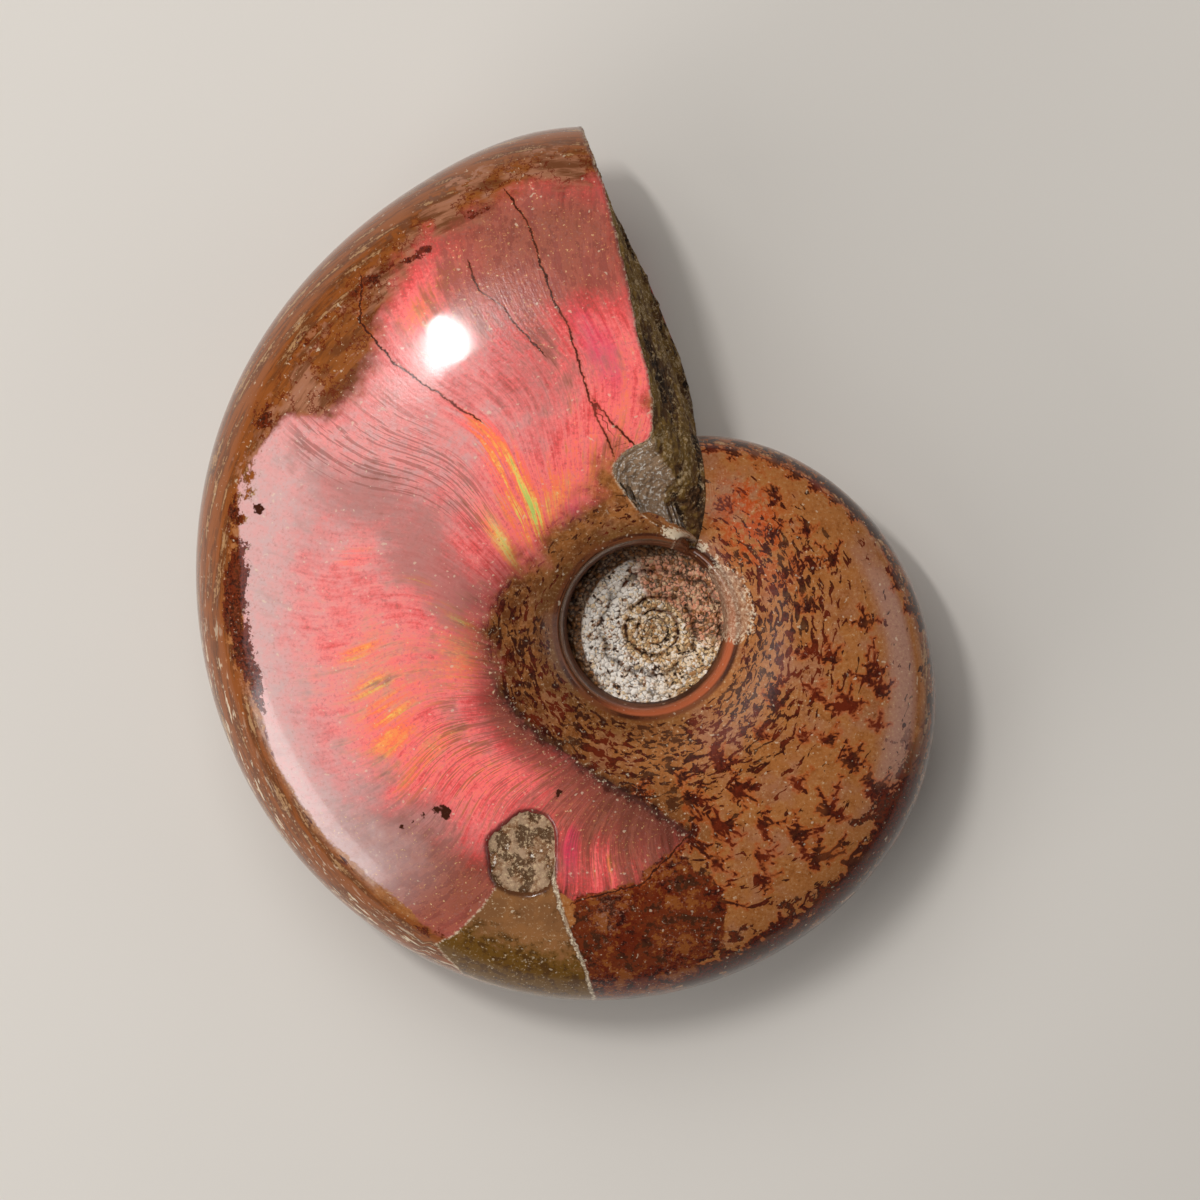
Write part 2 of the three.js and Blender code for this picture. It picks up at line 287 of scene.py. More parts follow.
class AmmoniteSurface(bpy.types.PropertyGroup):
    """Sizes of the surface's detail."""

    fold_height: length("Height of the folds along the growth lines", 0.012)
    window_depth: length("Depth of the window in the shell", 0.5)
    crust_depth: length("Thickness of the crust on the pit's floor", 1.0)
    whorl_relief: length("Height of the inner whorls on the pit's floor", 0.7)
    whorl_growth: share("Each inner whorl is this many times the one inside it", 1.75)
    grain_size: length("Size of the crust's grains", 0.52)
    grain_height: length("How far the crust's grains stand out", 0.3)
    break_relief: length("Roughness of the broken face", 0.55)
    edge_jag: length("Roughness of the broken edge", 0.14)
    antler_size: length("Reach of a branched suture marking on the flank", 3.1)
    shoulder_size: length("Reach of a large suture marking at the shoulder", 3.6)
    seed: bpy.props.IntProperty(description="Seed of the scattered markings", default=11)


class AmmoniteNacre(bpy.types.PropertyGroup):
    """Colours of the nacre."""

    deep: colour("The dullest nacre", 100, 46, 34)
    wine: colour("Dark red nacre", 172, 68, 60)
    crimson: colour("Red nacre", 228, 82, 80)
    coral: colour("Bright pink-red nacre", 255, 116, 112)
    ember: colour("Orange-red nacre", 255, 122, 84)
    orange: colour("Orange flashes", 252, 156, 84)
    gold: colour("Yellow flashes", 246, 200, 104)
    green: colour("The brightest flashes", 190, 206, 104)
    magenta: colour("Patches of magenta", 222, 54, 98)
    grey: colour("Patches of grey-purple", 164, 110, 102)
    # Pink of the painted reflection that lies over the nacre as a milky haze.
    haze: colour("Milky pink over the nacre", 230, 156, 150)
    # Grey-white of the painted reflection near the left shoulder, also mixed into the milky haze.
    grey_sheen: colour("Grey-white near the shoulder", 200, 168, 164)
    line: colour("Fine brown growth lines", 120, 62, 48)
    brown: colour("Brown shell where the nacre thins out", 158, 88, 68)


class AmmoniteFlank(bpy.types.PropertyGroup):
    """Colours of the flank beyond the nacre."""

    tan: colour("The sutured flank", 162, 100, 50)
    rose: colour("Pinkish parts of the flank", 158, 104, 76)
    ochre: colour("Warmer parts of the flank", 138, 76, 28)
    stain: colour("Orange stains", 172, 70, 18)
    umber: colour("Brown near the umbilical rim", 98, 52, 22)
    olive: colour("Greenish brown near the rim", 104, 72, 28)
    suture: colour("Suture markings", 96, 28, 4)
    suture_core: colour("The darkest part of a suture marking", 42, 10, 4)
    band: colour("The venter", 138, 74, 28)
    band_pale: colour("Pale streaks on the venter", 180, 136, 92)
    haze: colour("Lilac haze near the shoulder", 160, 112, 92)
    # Lilac grey: the painted reflection near the right shoulder, and also pale streaks and flecks.
    grain: colour("Pale grain of the flank", 188, 148, 104)
    wall: colour("The pit's wall", 116, 64, 34)
    # Painted light: the pit's wall on its lower right side, which faces the lights.
    wall_lit_side: colour("The pit's wall where light comes through", 184, 96, 60)
    scar: colour("The scar beside the pit", 170, 134, 108)
    crack: colour("Cracks", 60, 24, 10)
    speck: colour("Pale crumbs and dust", 226, 206, 176)


class AmmoniteStone(bpy.types.PropertyGroup):
    """Colours of the stone and the crusts."""

    olive: colour("Olive stone", 104, 70, 18)
    brown: colour("Dark brown stone", 74, 44, 14)
    face_olive: colour("Olive parts of the broken face", 128, 96, 44)
    face_brown: colour("Brown parts of the broken face", 92, 60, 30)
    black: colour("Cracks in the stone", 22, 13, 7)
    pale: colour("Pale crumbs", 206, 178, 138)
    grey: colour("Grey grains", 172, 140, 110)
    smooth_olive: colour("Polished stone under the window", 126, 84, 50)
    white: colour("White grains", 246, 236, 224)
    cream: colour("Cream grains", 230, 194, 142)
    tan: colour("Brown grains", 164, 110, 62)
    rose: colour("Reddish grains", 226, 150, 120)
    dark: colour("Dark grains", 46, 28, 18)


class AmmoniteStage(bpy.types.PropertyGroup):
    """The floor, the lights and the camera."""

    floor: colour("The floor", 214, 208, 200)
    floor_shade: colour("The floor's darker parts", 204, 198, 190)
    camera_height: length("Height of the camera over the pole", 333)
    camera_across: length("The camera's place along X from the pole", -5.3)
    camera_up: length("The camera's place along Y from the pole", 2.2)
    lens: share("Focal length of the camera in millimetres", 99.9)
    key_power: share("Power of the round light in watts", 0.5)
    soft_power: share("Power of the large light at the upper left in watts", 1.9)
    side_power: share("Power of the light along the left shoulder in watts", 0.55)
    fill_power: share("Power of the soft light on the left in watts", 0.85)
    right_power: share("Power of the soft light on the right in watts", 0.26)
    world: share("Strength of the light all round", 0.11)


GROUPS = {
    "ammonite_coil": AmmoniteCoil,
    "ammonite_surface": AmmoniteSurface,
    "ammonite_nacre": AmmoniteNacre,
    "ammonite_flank": AmmoniteFlank,
    "ammonite_stone": AmmoniteStone,
    "ammonite_stage": AmmoniteStage,
}


def through(points, x):
    """A smooth curve through (x, y) points, whose slope at a point joins its neighbours."""
    at, value = np.array(points, dtype=float).T
    before = np.maximum(np.arange(len(at)) - 1, 0)
    after = np.minimum(np.arange(len(at)) + 1, len(at) - 1)
    slope = (value[after] - value[before]) / (at[after] - at[before])
    x = np.asarray(x, dtype=float)
    k = np.clip(np.searchsorted(at, x, side="right") - 1, 0, len(at) - 2)
    span = at[k + 1] - at[k]
    t = np.clip((x - at[k]) / span, 0, 1)
    start = (1 + 2 * t) * (1 - t) ** 2 * value[k] + t * t * (3 - 2 * t) * value[k + 1]
    return start + span * (t * (1 - t) ** 2 * slope[k] - t * t * (1 - t) * slope[k + 1])


def towards(angle, direction):
    """How far an angle points in a direction, from -1 to 1."""
    return np.cos(np.radians(np.asarray(angle, dtype=float) - direction))


def smooth_step(value, low, high):
    """0 below low, 1 above high and smooth between."""
    t = np.clip((value - low) / (high - low), 0, 1)
    return t * t * (3 - 2 * t)


def jag(x):
    """Repeatable unevenness between -1 and 1 along a line."""
    return sum(np.sin(x * rate + phase) for rate, phase in JAG_WAVES) / len(JAG_WAVES)


class Coil:
    """The fossil's form, in millimetres and degrees about the pole."""

    def __init__(self, sizes, surface):
        self.pole = np.array(sizes.pole) / MM
        self.lean = sizes.lean
        self.lean_towards = sizes.lean_towards
        self.width_share = sizes.width_share
        self.crest_at = sizes.crest_at
        self.crest_row = sizes.crest_row
        self.rim_height = sizes.rim_height
        self.power = sizes.shoulder_power
        self.rim = sizes.rim_radius / MM
        self.rim_shift = sizes.rim_shift / MM
        self.rim_towards = math.degrees(sizes.rim_shift_towards)
        self.floor = sizes.floor_radius / MM
        self.floor_shift = sizes.floor_shift / MM
        self.floor_towards = math.degrees(sizes.floor_shift_towards)
        self.height = sizes.floor_height / MM
        self.height_lean = sizes.floor_lean / MM
        self.height_towards = math.degrees(sizes.floor_lean_towards)
        self.floor_centre = sizes.floor_centre
        self.fold = surface.fold_height / MM
        self.window = surface.window_depth / MM
        self.edge_jag = surface.edge_jag / MM

    def venter(self, angle):
        return through(VENTER, angle)

    def rim_radius(self, angle):
        return self.rim + self.rim_shift * towards(angle, self.rim_towards)

    def floor_radius(self, angle):
        return self.floor + self.floor_shift * towards(angle, self.floor_towards)

    def floor_height(self, angle):
        return self.height + self.height_lean * towards(angle, self.height_towards)

    def section(self, row):
        """The cross-section at a row: its share of the whorl's reach, and its height over the crest's."""
        row = np.asarray(row, dtype=float)
        up = row / self.crest_row
        around = np.clip((row - self.crest_row) / (1 - self.crest_row), 0, 1) * math.pi / 2
        outer = self.crest_at + (1 - self.crest_at) * np.sin(around) ** (2 / self.power)
        fall = np.maximum(np.cos(around), 0) ** (2 / self.power)
        inner = row < self.crest_row
        reach = np.where(inner, self.crest_at * up, outer)
        height = np.where(inner, 1 - (1 - self.rim_height) * (1 - up) ** 2, fall)
        return reach, height

    def break_angle(self, reach, side):
        """The angle of the broken edge, with its unevenness."""
        angle = np.where(side > 0, through(BREAK_ABOVE, reach), through(BREAK_BELOW, reach))
        radius = self.rim + (self.venter(BREAK_ANGLE) - self.rim) * reach
        inner = smooth_step(reach, 0.0, 0.1)
        return angle + np.degrees(self.edge_jag * inner * jag(reach + side) / radius)

    def sweep_angle(self, reach, side, along):
        """The angle round the coil at a share of the sweep from the broken edge to the foot of the break."""
        plain = BREAK_ANGLE + (through(BREAK_FOOT, reach) - BREAK_ANGLE) * along
        return plain + (self.break_angle(reach, side) - BREAK_ANGLE) * (1 - along) ** BREAK_SETTLE

    def flank(self, angle, row, side):
        """Points on the outside of the whorl. side is 1 above the coil's plane and -1 below it."""
        reach, height = self.section(row)
        radius = self.rim_radius(angle) + (self.venter(angle) - self.rim_radius(angle)) * reach
        z = self.width_share * self.venter(angle) * height + self.folds(angle, reach, side)
        return polar(angle, radius, side * z)

    def folds(self, angle, reach, side):
        """Height of the folds that follow the growth lines."""
        growth = angle - through(GROWTH_LINE, reach)
        wave = sum(
            part * np.sin(np.radians(growth * waves + shift * side)) for part, waves, shift in FOLD_WAVES)
        return self.fold * wave * np.sin(math.pi * np.clip(reach, 0, 1))

    def lay(self, points):
        """Points about the pole, laid down as the fossil rests, in metres."""
        axis = np.array((-math.sin(self.lean_towards), math.cos(self.lean_towards), 0))
        points = np.asarray(points, dtype=float)
        along = (points @ axis)[..., None] * axis
        leaned = along + (points - along) * math.cos(self.lean) + np.cross(axis, points) * math.sin(self.lean)
        placed = (leaned + self.pole) * MM
        low, high = (np.array(corner) for corner in CAD_BOX)
        return np.clip(placed, low, high)


def polar(angle, radius, z):
    """Points at an angle, a distance from the pole and a height."""
    angle, radius, z = np.broadcast_arrays(angle, radius, z)
    return np.stack((radius * np.cos(np.radians(angle)), radius * np.sin(np.radians(angle)), z), axis=-1)


def outline_distance(points, outline):
    """How far each plan point is inside an outline of plan points, negative outside."""
    corners = np.array(outline, dtype=float)
    following = np.roll(corners, -1, axis=0)
    x, y = points[..., 0], points[..., 1]
    inside = np.zeros(x.shape, dtype=bool)
    for (ax, ay), (bx, by) in zip(corners, following):
        if ay != by:
            crosses = (ay > y) != (by > y)
            inside ^= crosses & (x < (bx - ax) * (y - ay) / (by - ay) + ax)
    away = line_distance(points, np.vstack((corners, corners[:1])))
    return np.where(inside, away, -away)


def to_segment(x, y, start, end):
    """The share of the way along a segment where it is nearest to each point, and the distance there."""
    (ax, ay), (bx, by) = start, end
    dx, dy = bx - ax, by - ay
    t = np.clip(((x - ax) * dx + (y - ay) * dy) / max(dx * dx + dy * dy, TINY), 0, 1)
    return t, np.hypot(x - ax - t * dx, y - ay - t * dy)


def line_distance(points, line):
    """The distance of each plan point from a run of plan points."""
    x, y = points[..., 0], points[..., 1]
    nearest = np.full(x.shape, np.inf)
    for start, end in zip(line[:-1], line[1:]):
        nearest = np.minimum(nearest, to_segment(x, y, start, end)[1])
    return nearest


def signed_line_distance(points, line):
    """The distance of each plan point from a run of plan points, positive on its left."""
    x, y = points[..., 0], points[..., 1]
    nearest = np.full(x.shape, np.inf)
    signed = np.zeros(x.shape)
    for (ax, ay), (bx, by) in zip(line[:-1], line[1:]):
        away = to_segment(x, y, (ax, ay), (bx, by))[1]
        side = np.sign((bx - ax) * (y - ay) - (by - ay) * (x - ax))
        signed = np.where(away < nearest, away * side, signed)
        nearest = np.minimum(nearest, away)
    return signed


def rounded(corners, steps=6):
    """A closed outline through the same corners, bent smoothly at each of them."""
    corners = np.array(corners, dtype=float)
    before, after = np.roll(corners, 1, axis=0), np.roll(corners, -1, axis=0)
    beyond = np.roll(corners, -2, axis=0)
    t = np.linspace(0, 1, steps, endpoint=False)[:, None, None]
    curve = corners + 0.5 * t * (after - before + t * (2 * before - 5 * corners + 4 * after - beyond + t * (
        3 * (corners - after) - before + beyond)))
    return curve.transpose(1, 0, 2).reshape(-1, 2)


def plan(coil, places):
    """Places given as (angle, share), as plan points about the pole."""
    angle, reach = np.array(places, dtype=float).T
    radius = coil.rim_radius(angle) + (coil.venter(angle) - coil.rim_radius(angle)) * reach
    return polar(angle, radius, 0.0)[:, :2]


class Limb:
    """One tapered stroke of a branched marking: from, to, and the half widths at its ends."""

    def __init__(self, start, end, start_width, end_width):
        self.start = start
        self.end = end
        self.start_width = start_width
        self.end_width = end_width


def stride(point, heading, reach):
    """The place at a distance and a heading from a place."""
    return (point[0] + reach * math.cos(math.radians(heading)),
            point[1] + reach * math.sin(math.radians(heading)))


def knobbly_arm(rng, start, heading, reach, width, steps):
    """One tapering, knobbly arm of a marking. A heading of 90 degrees points on round the coil."""
    limbs = []
    point = start
    for step in range(steps):
        left = 1 - 0.55 * step / steps
        heading += rng.uniform(-20, 20)
        end = stride(point, heading, reach / steps)
        limbs.append(Limb(point, end, width * left, width * left * 0.8))
        for side in (-1, 1):
            if rng.random() < 0.85:
                tip = stride(end, heading + side * rng.uniform(42, 78), width * left * rng.uniform(2.0, 4.2))
                limbs.append(Limb(end, tip, width * left * 0.6, width * left * 0.66))
        point = end
    return limbs


def rosette(rng, size, arms, thickness):
    """A branched marking whose arms fan out, the longest on round the coil."""
    heart = size * thickness * 1.7
    limbs = [Limb((0.0, -size * 0.1), stride((0.0, 0.0), 90, size * 0.2), heart, heart * 0.8)]
    for arm in range(arms):
        heading = 90 + (arm - (arms - 1) / 2) * 290 / arms + rng.uniform(-16, 16)
        ahead = 0.62 + 0.38 * math.cos(math.radians(heading - 90))
        reach = size * ahead * rng.uniform(0.7, 1.2)
        limbs += knobbly_arm(rng, (0.0, 0.0), heading, reach, size * thickness, 3)
    return limbs


def stamp(field, across, along, limbs):
    """Lowers a distance field to the distance from a marking's limbs."""
    for limb in limbs:
        t, away = to_segment(across, along, limb.start, limb.end)
        width = limb.start_width + (limb.end_width - limb.start_width) * t
        np.minimum(field, away - width, out=field)


class SutureMap:
    """The distance of every point of the skin from the suture markings, in millimetres."""

    FAR = 2.0
    WINDOW = 1.6

    def __init__(self, angle, run, radius, side):
        self.angle = angle
        self.run = run
        self.radius = radius
        self.side = side
        self.field = np.full(angle.shape, self.FAR)

    def put(self, angle, run, side, limbs, size):
        """Stamps one marking whose foot is at an angle and a distance from the rim."""
        near = (np.abs(self.run - run) < size * self.WINDOW) & (self.side == side)
        turn_share = np.radians(self.angle - angle) * self.radius
        near &= np.abs(turn_share) < size * self.WINDOW
        if not near.any():
            return
        local = self.field[near]
        stamp(local, self.run[near] - run, turn_share[near], limbs)
        self.field[near] = local


def put_rosettes(sutures, rng, size, side, coil):
    """Branched markings on the open flank, in rings round the coil."""
    for run in np.arange(6.6, 27.0, 3.3):
        step = math.degrees(size * 1.5 / (9.0 + run))
        for angle in np.arange(262 + 7 * run % 5, 430, step):
            flank = coil.venter(angle) - coil.rim_radius(angle)
            near_pit = smooth_step(run, 14.0, 6.6)
            scale = size * rng.uniform(0.55, 1.1) * (1 - 0.35 * near_pit)
            marking = rosette(rng, scale, rng.randint(5, 7), rng.uniform(0.052, 0.072))
            place = run + rng.uniform(-1.1, 1.1)
            keep = rng.random() < 0.9
            if keep and place < flank * 0.85 - 0.8:
                sutures.put(angle + rng.uniform(-2.4, 2.4), place, side, marking, scale * 1.1)


def put_shoulder_lobes(sutures, rng, size, side, coil):
    """Large markings along the shoulder and the venter."""
    for angle in np.arange(258, 436, 6.2):
        large = smooth_step(angle, 345, 300)
        scale = size * (0.5 + 0.5 * large) * rng.uniform(0.7, 1.15)
        flank = coil.venter(angle) - coil.rim_radius(angle)
        marking = rosette(rng, scale, 6, 0.085 + 0.04 * large)
        sutures.put(angle, flank * (1.06 - 0.06 * large) + rng.uniform(-1.2, 1.6), side, marking, scale)
    for angle in np.arange(100, 236, 2.7):
        scale = size * rng.uniform(0.28, 0.62)
        flank = coil.venter(angle) - coil.rim_radius(angle)
        marking = rosette(rng, scale, 4, 0.16)
        if rng.random() < 0.8:
            sutures.put(angle, flank * 1.02 + rng.uniform(-2.0, 3.6), side, marking, scale)


def suture_field(angle, run, radius, side, surface, coil):
    """The distance field of all the suture markings on the skin."""
    sutures = SutureMap(angle, run, radius, side)
    for face in (1, -1):
        rng = random.Random(surface.seed + face)
        put_rosettes(sutures, rng, surface.antler_size / MM, face, coil)
        put_shoulder_lobes(sutures, rng, surface.shoulder_size / MM, face, coil)
    return sutures.field


def blobs(growth, run, radius, places, coil):
    """The sum of soft patches. A place is an angle, a share, a width, a length and a strength."""
    total = np.zeros(growth.shape)
    for angle, reach, width, extent, strength in places:
        centre = angle - through(GROWTH_LINE, reach)
        centre_run = reach * (coil.venter(angle) - coil.rim_radius(angle))
        across = np.radians(growth - centre) * radius / width
        along = (run - centre_run) / extent
        total += strength * np.exp(-across ** 2 - along ** 2)
    return total


def mesh_object(name, vertices, faces, attributes=None, smooth=True):
    """A mesh object from vertex places in metres, faces and point attributes."""
    mesh = bpy.data.meshes.new(name)
    mesh.from_pydata([tuple(place) for place in vertices.tolist()], [], faces)
    for key, values in (attributes or {}).items():
        layer = mesh.attributes.new(key, "FLOAT", "POINT")
        layer.data.foreach_set("value", np.ascontiguousarray(values, dtype=np.float32))
    mesh.polygons.foreach_set("use_smooth", np.full(len(mesh.polygons), smooth))
    mesh.update()
    piece = bpy.data.objects.new(name, mesh)
    bpy.context.scene.collection.objects.link(piece)
    return piece


def strip_faces(columns, rows, ring):
    """Quads between the columns of a grid. A ring joins the last column to the first."""
    a = np.arange(columns if ring else columns - 1)[:, None] * rows + np.arange(rows - 1)
    b = (np.arange(1, columns + 1 if ring else columns) % columns)[:, None] * rows + np.arange(rows - 1)
    return np.stack((a, a + 1, b + 1, b), axis=-1).reshape(-1, 4).tolist()


def dress(piece, material):
    """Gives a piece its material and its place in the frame."""
    piece.data.materials.append(material)
    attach(piece, BODY)
    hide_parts(NODE)
    return piece


class Skin:
    """The grid of the outer skin: columns round the coil, rows from the upper pit to the lower."""

    FINE_FROM = 262.0
    COARSE_COLUMNS = 200
    FINE_COLUMNS = 330
    BREAK_COLUMNS = 8
    ROWS_ABOVE = 128
    ROWS_BELOW = 34
    WALL = (0.12, 0.25, 0.38, 0.5, 0.62, 0.74, 0.86, 1.0)
    FLOOR = (0.66, 0.33)
    RECESS = 0.9
    RECESS_POWER = 0.3
    # How far the skin is carved under the window, over the window's depth, and across what slope.
    WINDOW_CARVE = 2.2
    WINDOW_SLOPE = (-0.05, 0.5)
    # The attribute "wall" on the floor's rows and at its middle.
    FLOOR_WALL = (1.2, 1.5)
    MIDDLE_WALL = (2, 2)
    # Stands for the distance to something that isn't near, in millimetres.
    FAR = 9.0

    def __init__(self, coil, surface):
        self.coil = coil
        self.surface = surface
        coarse = np.linspace(BREAK_ANGLE, self.FINE_FROM, self.COARSE_COLUMNS, endpoint=False)
        fine = np.linspace(self.FINE_FROM, SWEEP_END, self.FINE_COLUMNS)
        turned = np.concatenate((coarse, fine))
        self.along = (turned - BREAK_ANGLE) / (SWEEP_END - BREAK_ANGLE)
        above = np.linspace(0, 1, self.ROWS_ABOVE)
        below = np.linspace(1, 0, self.ROWS_BELOW)[1:]
        self.row = np.concatenate((above, below))
        self.side = np.concatenate((np.ones(len(above)), -np.ones(len(below))))
        self.reach = coil.section(self.row)[0]
        self.angle = coil.sweep_angle(self.reach, self.side, self.along[:, None])
        self.whorl = self.sink_window(coil.flank(self.angle, self.row, self.side))

    def sink_window(self, whorl):
        """Lowers the shell where it has flaked off."""
        inside = outline_distance(whorl[..., :2], rounded(plan(self.coil, WINDOW_OUTLINE)))
        carved = smooth_step(inside, *self.WINDOW_SLOPE) * (self.side > 0)
        depth = self.WINDOW_CARVE * self.coil.window * carved
        whorl[..., 2] -= depth
        return whorl

    def break_columns(self):
        """Columns behind the broken face, sunk so that the face's own mesh covers them."""
        even = np.arange(self.BREAK_COLUMNS + 1) / self.BREAK_COLUMNS
        t = (0.5 - 0.5 * np.cos(math.pi * even))[:, None, None]
        columns = self.whorl[-1] * (1 - t) + self.whorl[0] * t
        depth = self.RECESS * np.abs(np.sin(math.pi * t)) ** self.RECESS_POWER
        return (columns - depth * outward_normals(columns))[1:-1]

    def closed(self, whorl, angle):
        """Adds the pit's wall and floor on both sides to the whorl's rows."""
        upper = self.pit(whorl[:, 0], angle[:, 0], 1)[:, ::-1]
        lower = self.pit(whorl[:, -1], angle[:, -1], -1)
        return np.concatenate((upper, whorl, lower), axis=1)

    def pit(self, rim, angle, side):
        """The rows from the rim down the wall and in over the floor."""
        coil = self.coil
        rim_radius = np.hypot(rim[:, 0], rim[:, 1])[:, None]
        rim_z = np.abs(rim[:, 2])[:, None]
        base = (coil.floor_height(angle) - self.surface.crust_depth / MM)[:, None]
        down = np.array(self.WALL)[None] * math.pi / 2
        radius = rim_radius - (rim_radius - coil.floor_radius(angle)[:, None]) * np.sin(down)
        z = rim_z - (rim_z - base) * (1 - np.cos(down))
        wall = polar(angle[:, None], radius, side * z)
        inward = np.array(self.FLOOR)[None]
        drop = coil.floor_centre + (1 - coil.floor_centre) * inward
        floor_z = base * drop
        floor = polar(angle[:, None], coil.floor_radius(angle)[:, None] * inward, side * floor_z)
        return np.concatenate((wall, floor), axis=1)

    def build(self):
        """The skin's vertices, faces and attributes."""
        t = (np.arange(1, self.BREAK_COLUMNS) / self.BREAK_COLUMNS)[:, None]
        break_angle = self.angle[-1] * (1 - t) + (self.angle[0] + FULL_TURN) * t
        whorl = np.concatenate((self.whorl, self.break_columns()))
        angle = np.concatenate((self.angle, break_angle))
        grid = self.closed(whorl, angle)
        columns, rows = grid.shape[:2]
        centre = (self.coil.height - self.surface.crust_depth / MM) * self.coil.floor_centre
        poles = np.array(((0, 0, centre), (0, 0, -centre)))
        vertices = np.concatenate((grid.reshape(-1, 3), poles))
        faces = strip_faces(columns, rows, ring=True)
        top = columns * rows
        for i in range(columns):
            a, b = i * rows, ((i + 1) % columns) * rows
            faces.append((top, a, b))
            faces.append((top + 1, b + rows - 1, a + rows - 1))
        return self.coil.lay(vertices), faces, self.attributes(whorl, angle)

    def attributes(self, whorl, angle):
        """What the skin's shader needs to know at every vertex."""
        coil = self.coil
        step = np.linalg.norm(np.diff(whorl, axis=1), axis=2)
        run = np.concatenate((np.zeros((len(step), 1)), np.cumsum(step, axis=1)), axis=1)
        back = run[:, -1:] - run
        run = np.where(self.side > 0, run, back)
        radius = np.hypot(whorl[..., 0], whorl[..., 1])
        side = np.broadcast_to(self.side, run.shape)
        growth = angle - through(GROWTH_LINE, self.reach)
        flat = whorl[..., :2]
        above = side > 0
        cracks = np.full(run.shape, self.FAR)
        for crack in CRACKS:
            away = signed_line_distance(flat, plan(coil, crack))
            cracks = np.where(np.abs(away) < np.abs(cracks), away, cracks)
        pale = signed_line_distance(flat, plan(coil, PALE_CRACK))
        fields = {name: blobs(growth, run, radius, places, coil) for name, places in PATCHES.items()}
        fields.update({
            "growth": growth,
            "reach": np.broadcast_to(self.reach, run.shape),
            "run": run,
            "suture": suture_field(angle, run, radius, side, self.surface, coil),
            "nacre": outline_distance(flat, plan(coil, NACRE_OUTLINE)),
            "olive": np.where(above, outline_distance(flat, plan(coil, OLIVE_OUTLINE)), -self.FAR),
            "umber": np.where(above, outline_distance(flat, plan(coil, DARK_STONE_OUTLINE)), -self.FAR),
            "crack": np.abs(cracks),
            "crack_side": cracks,
            "pale_crack": np.abs(pale),
            "pale_crack_side": pale,
            "seam": line_distance(flat, plan(coil, SEAM)),
            "pane": outline_distance(flat, rounded(plan(coil, WINDOW_OUTLINE))),
            "swirl": np.radians(angle),
            "spread": np.log(radius / coil.rim),
            "spot": self.spots(flat, DARK_SPOTS),
            "stain": self.stains(flat),
            "scar": np.where(above, outline_distance(flat, np.array(SCAR_OUTLINE)), -self.FAR),
            "crumb": self.crumbs(flat, above),
            "edge": np.radians(np.abs(angle - coil.break_angle(self.reach, self.side))) * radius,
        })
        return self.with_pits(fields)

    def with_pits(self, fields):
        """Carries the whorl's attributes on over the pits, and adds how far down a wall a place is."""
        columns, rows = fields["run"].shape
        pit = len(self.WALL) + len(self.FLOOR)
        rows += 2 * pit
        down = np.array(self.WALL + self.FLOOR_WALL)
        wall = np.zeros((columns, rows))
        wall[:, :pit] = down[::-1]
        wall[:, -pit:] = down
        packed = {"wall": np.append(wall.reshape(-1), self.MIDDLE_WALL)}
        for key, values in fields.items():
            first = np.repeat(values[:, :1], pit, axis=1)
            last = np.repeat(values[:, -1:], pit, axis=1)
            full = np.concatenate((first, values, last), axis=1)
            packed[key] = np.append(full.reshape(-1), (0, 0))
        return packed

    def spots(self, flat, places):
        """The distance from small dark spots, negative inside."""
        nearest = np.full(flat.shape[:-1], self.FAR)
        for angle, reach, radius in places:
            centre = plan(self.coil, ((angle, reach),))[0]
            nearest = np.minimum(nearest, np.hypot(*(flat - centre).transpose(2, 0, 1)) - radius)
        return nearest

    def crumbs(self, flat, above):
        """Soft spots where pale crumbs stick to the rim of the pit."""
        total = np.zeros(flat.shape[:-1])
        for x, y, radius in CRUMBS:
            total += np.exp(-((flat[..., 0] - x) ** 2 + (flat[..., 1] - y) ** 2) / radius ** 2)
        return total * above

    def stains(self, flat):
        """Soft orange stains on the flank."""
        total = np.zeros(flat.shape[:-1])
        for angle, reach, radius, strength in ORANGE_STAINS:
            centre = plan(self.coil, ((angle, reach),))[0]
            away = np.hypot(*(flat - centre).transpose(2, 0, 1)) / radius
            total += strength * np.exp(-away ** 2)
        return total


def grid_normals(grid):
    """Unit normals of a grid of points, by the slopes of its two ways."""
    across = np.gradient(grid, axis=0)
    along = np.gradient(grid, axis=1)
    normal = np.cross(across, along)
    return normal / np.maximum(np.linalg.norm(normal, axis=-1, keepdims=True), TINY)


def outward_normals(grid):
    """Unit normals of the broken face's grid, away from the stone behind it."""
    normal = grid_normals(grid)
    away = ((grid - np.array(INSIDE)) * normal).sum(axis=-1, keepdims=True)
    return np.where(away < 0, -normal, normal)


def lumps(points, size, octaves=3, offset=0.0):
    """Fractal noise between about -1 and 1 at each point. size is that of the largest lumps."""
    flat = (points.reshape(-1, 3) / size + offset).tolist()
    values = [noise.fractal(Vector(place), 1.0, 2.0, octaves) for place in flat]
    return np.array(values).reshape(points.shape[:-1])


def grains(points, size, offset=0.0):
    """Rounded grains: for each point, 0 at a grain's edge to 1 at its middle, and the grain's own number."""
    flat = (points.reshape(-1, 3) / size + offset).tolist()
    height = np.empty(len(flat))
    own = np.empty(len(flat))
    for i, place in enumerate(flat):
        distances, seeds = noise.voronoi(Vector(place))
        height[i] = min((distances[1] - distances[0]) * 1.6, 1.0)
        own[i] = (seeds[0].x * 12.9898 + seeds[0].y * 78.233 + seeds[0].z * 37.719) % 1.0
    shape = points.shape[:-1]
    return height.reshape(shape), own.reshape(shape)


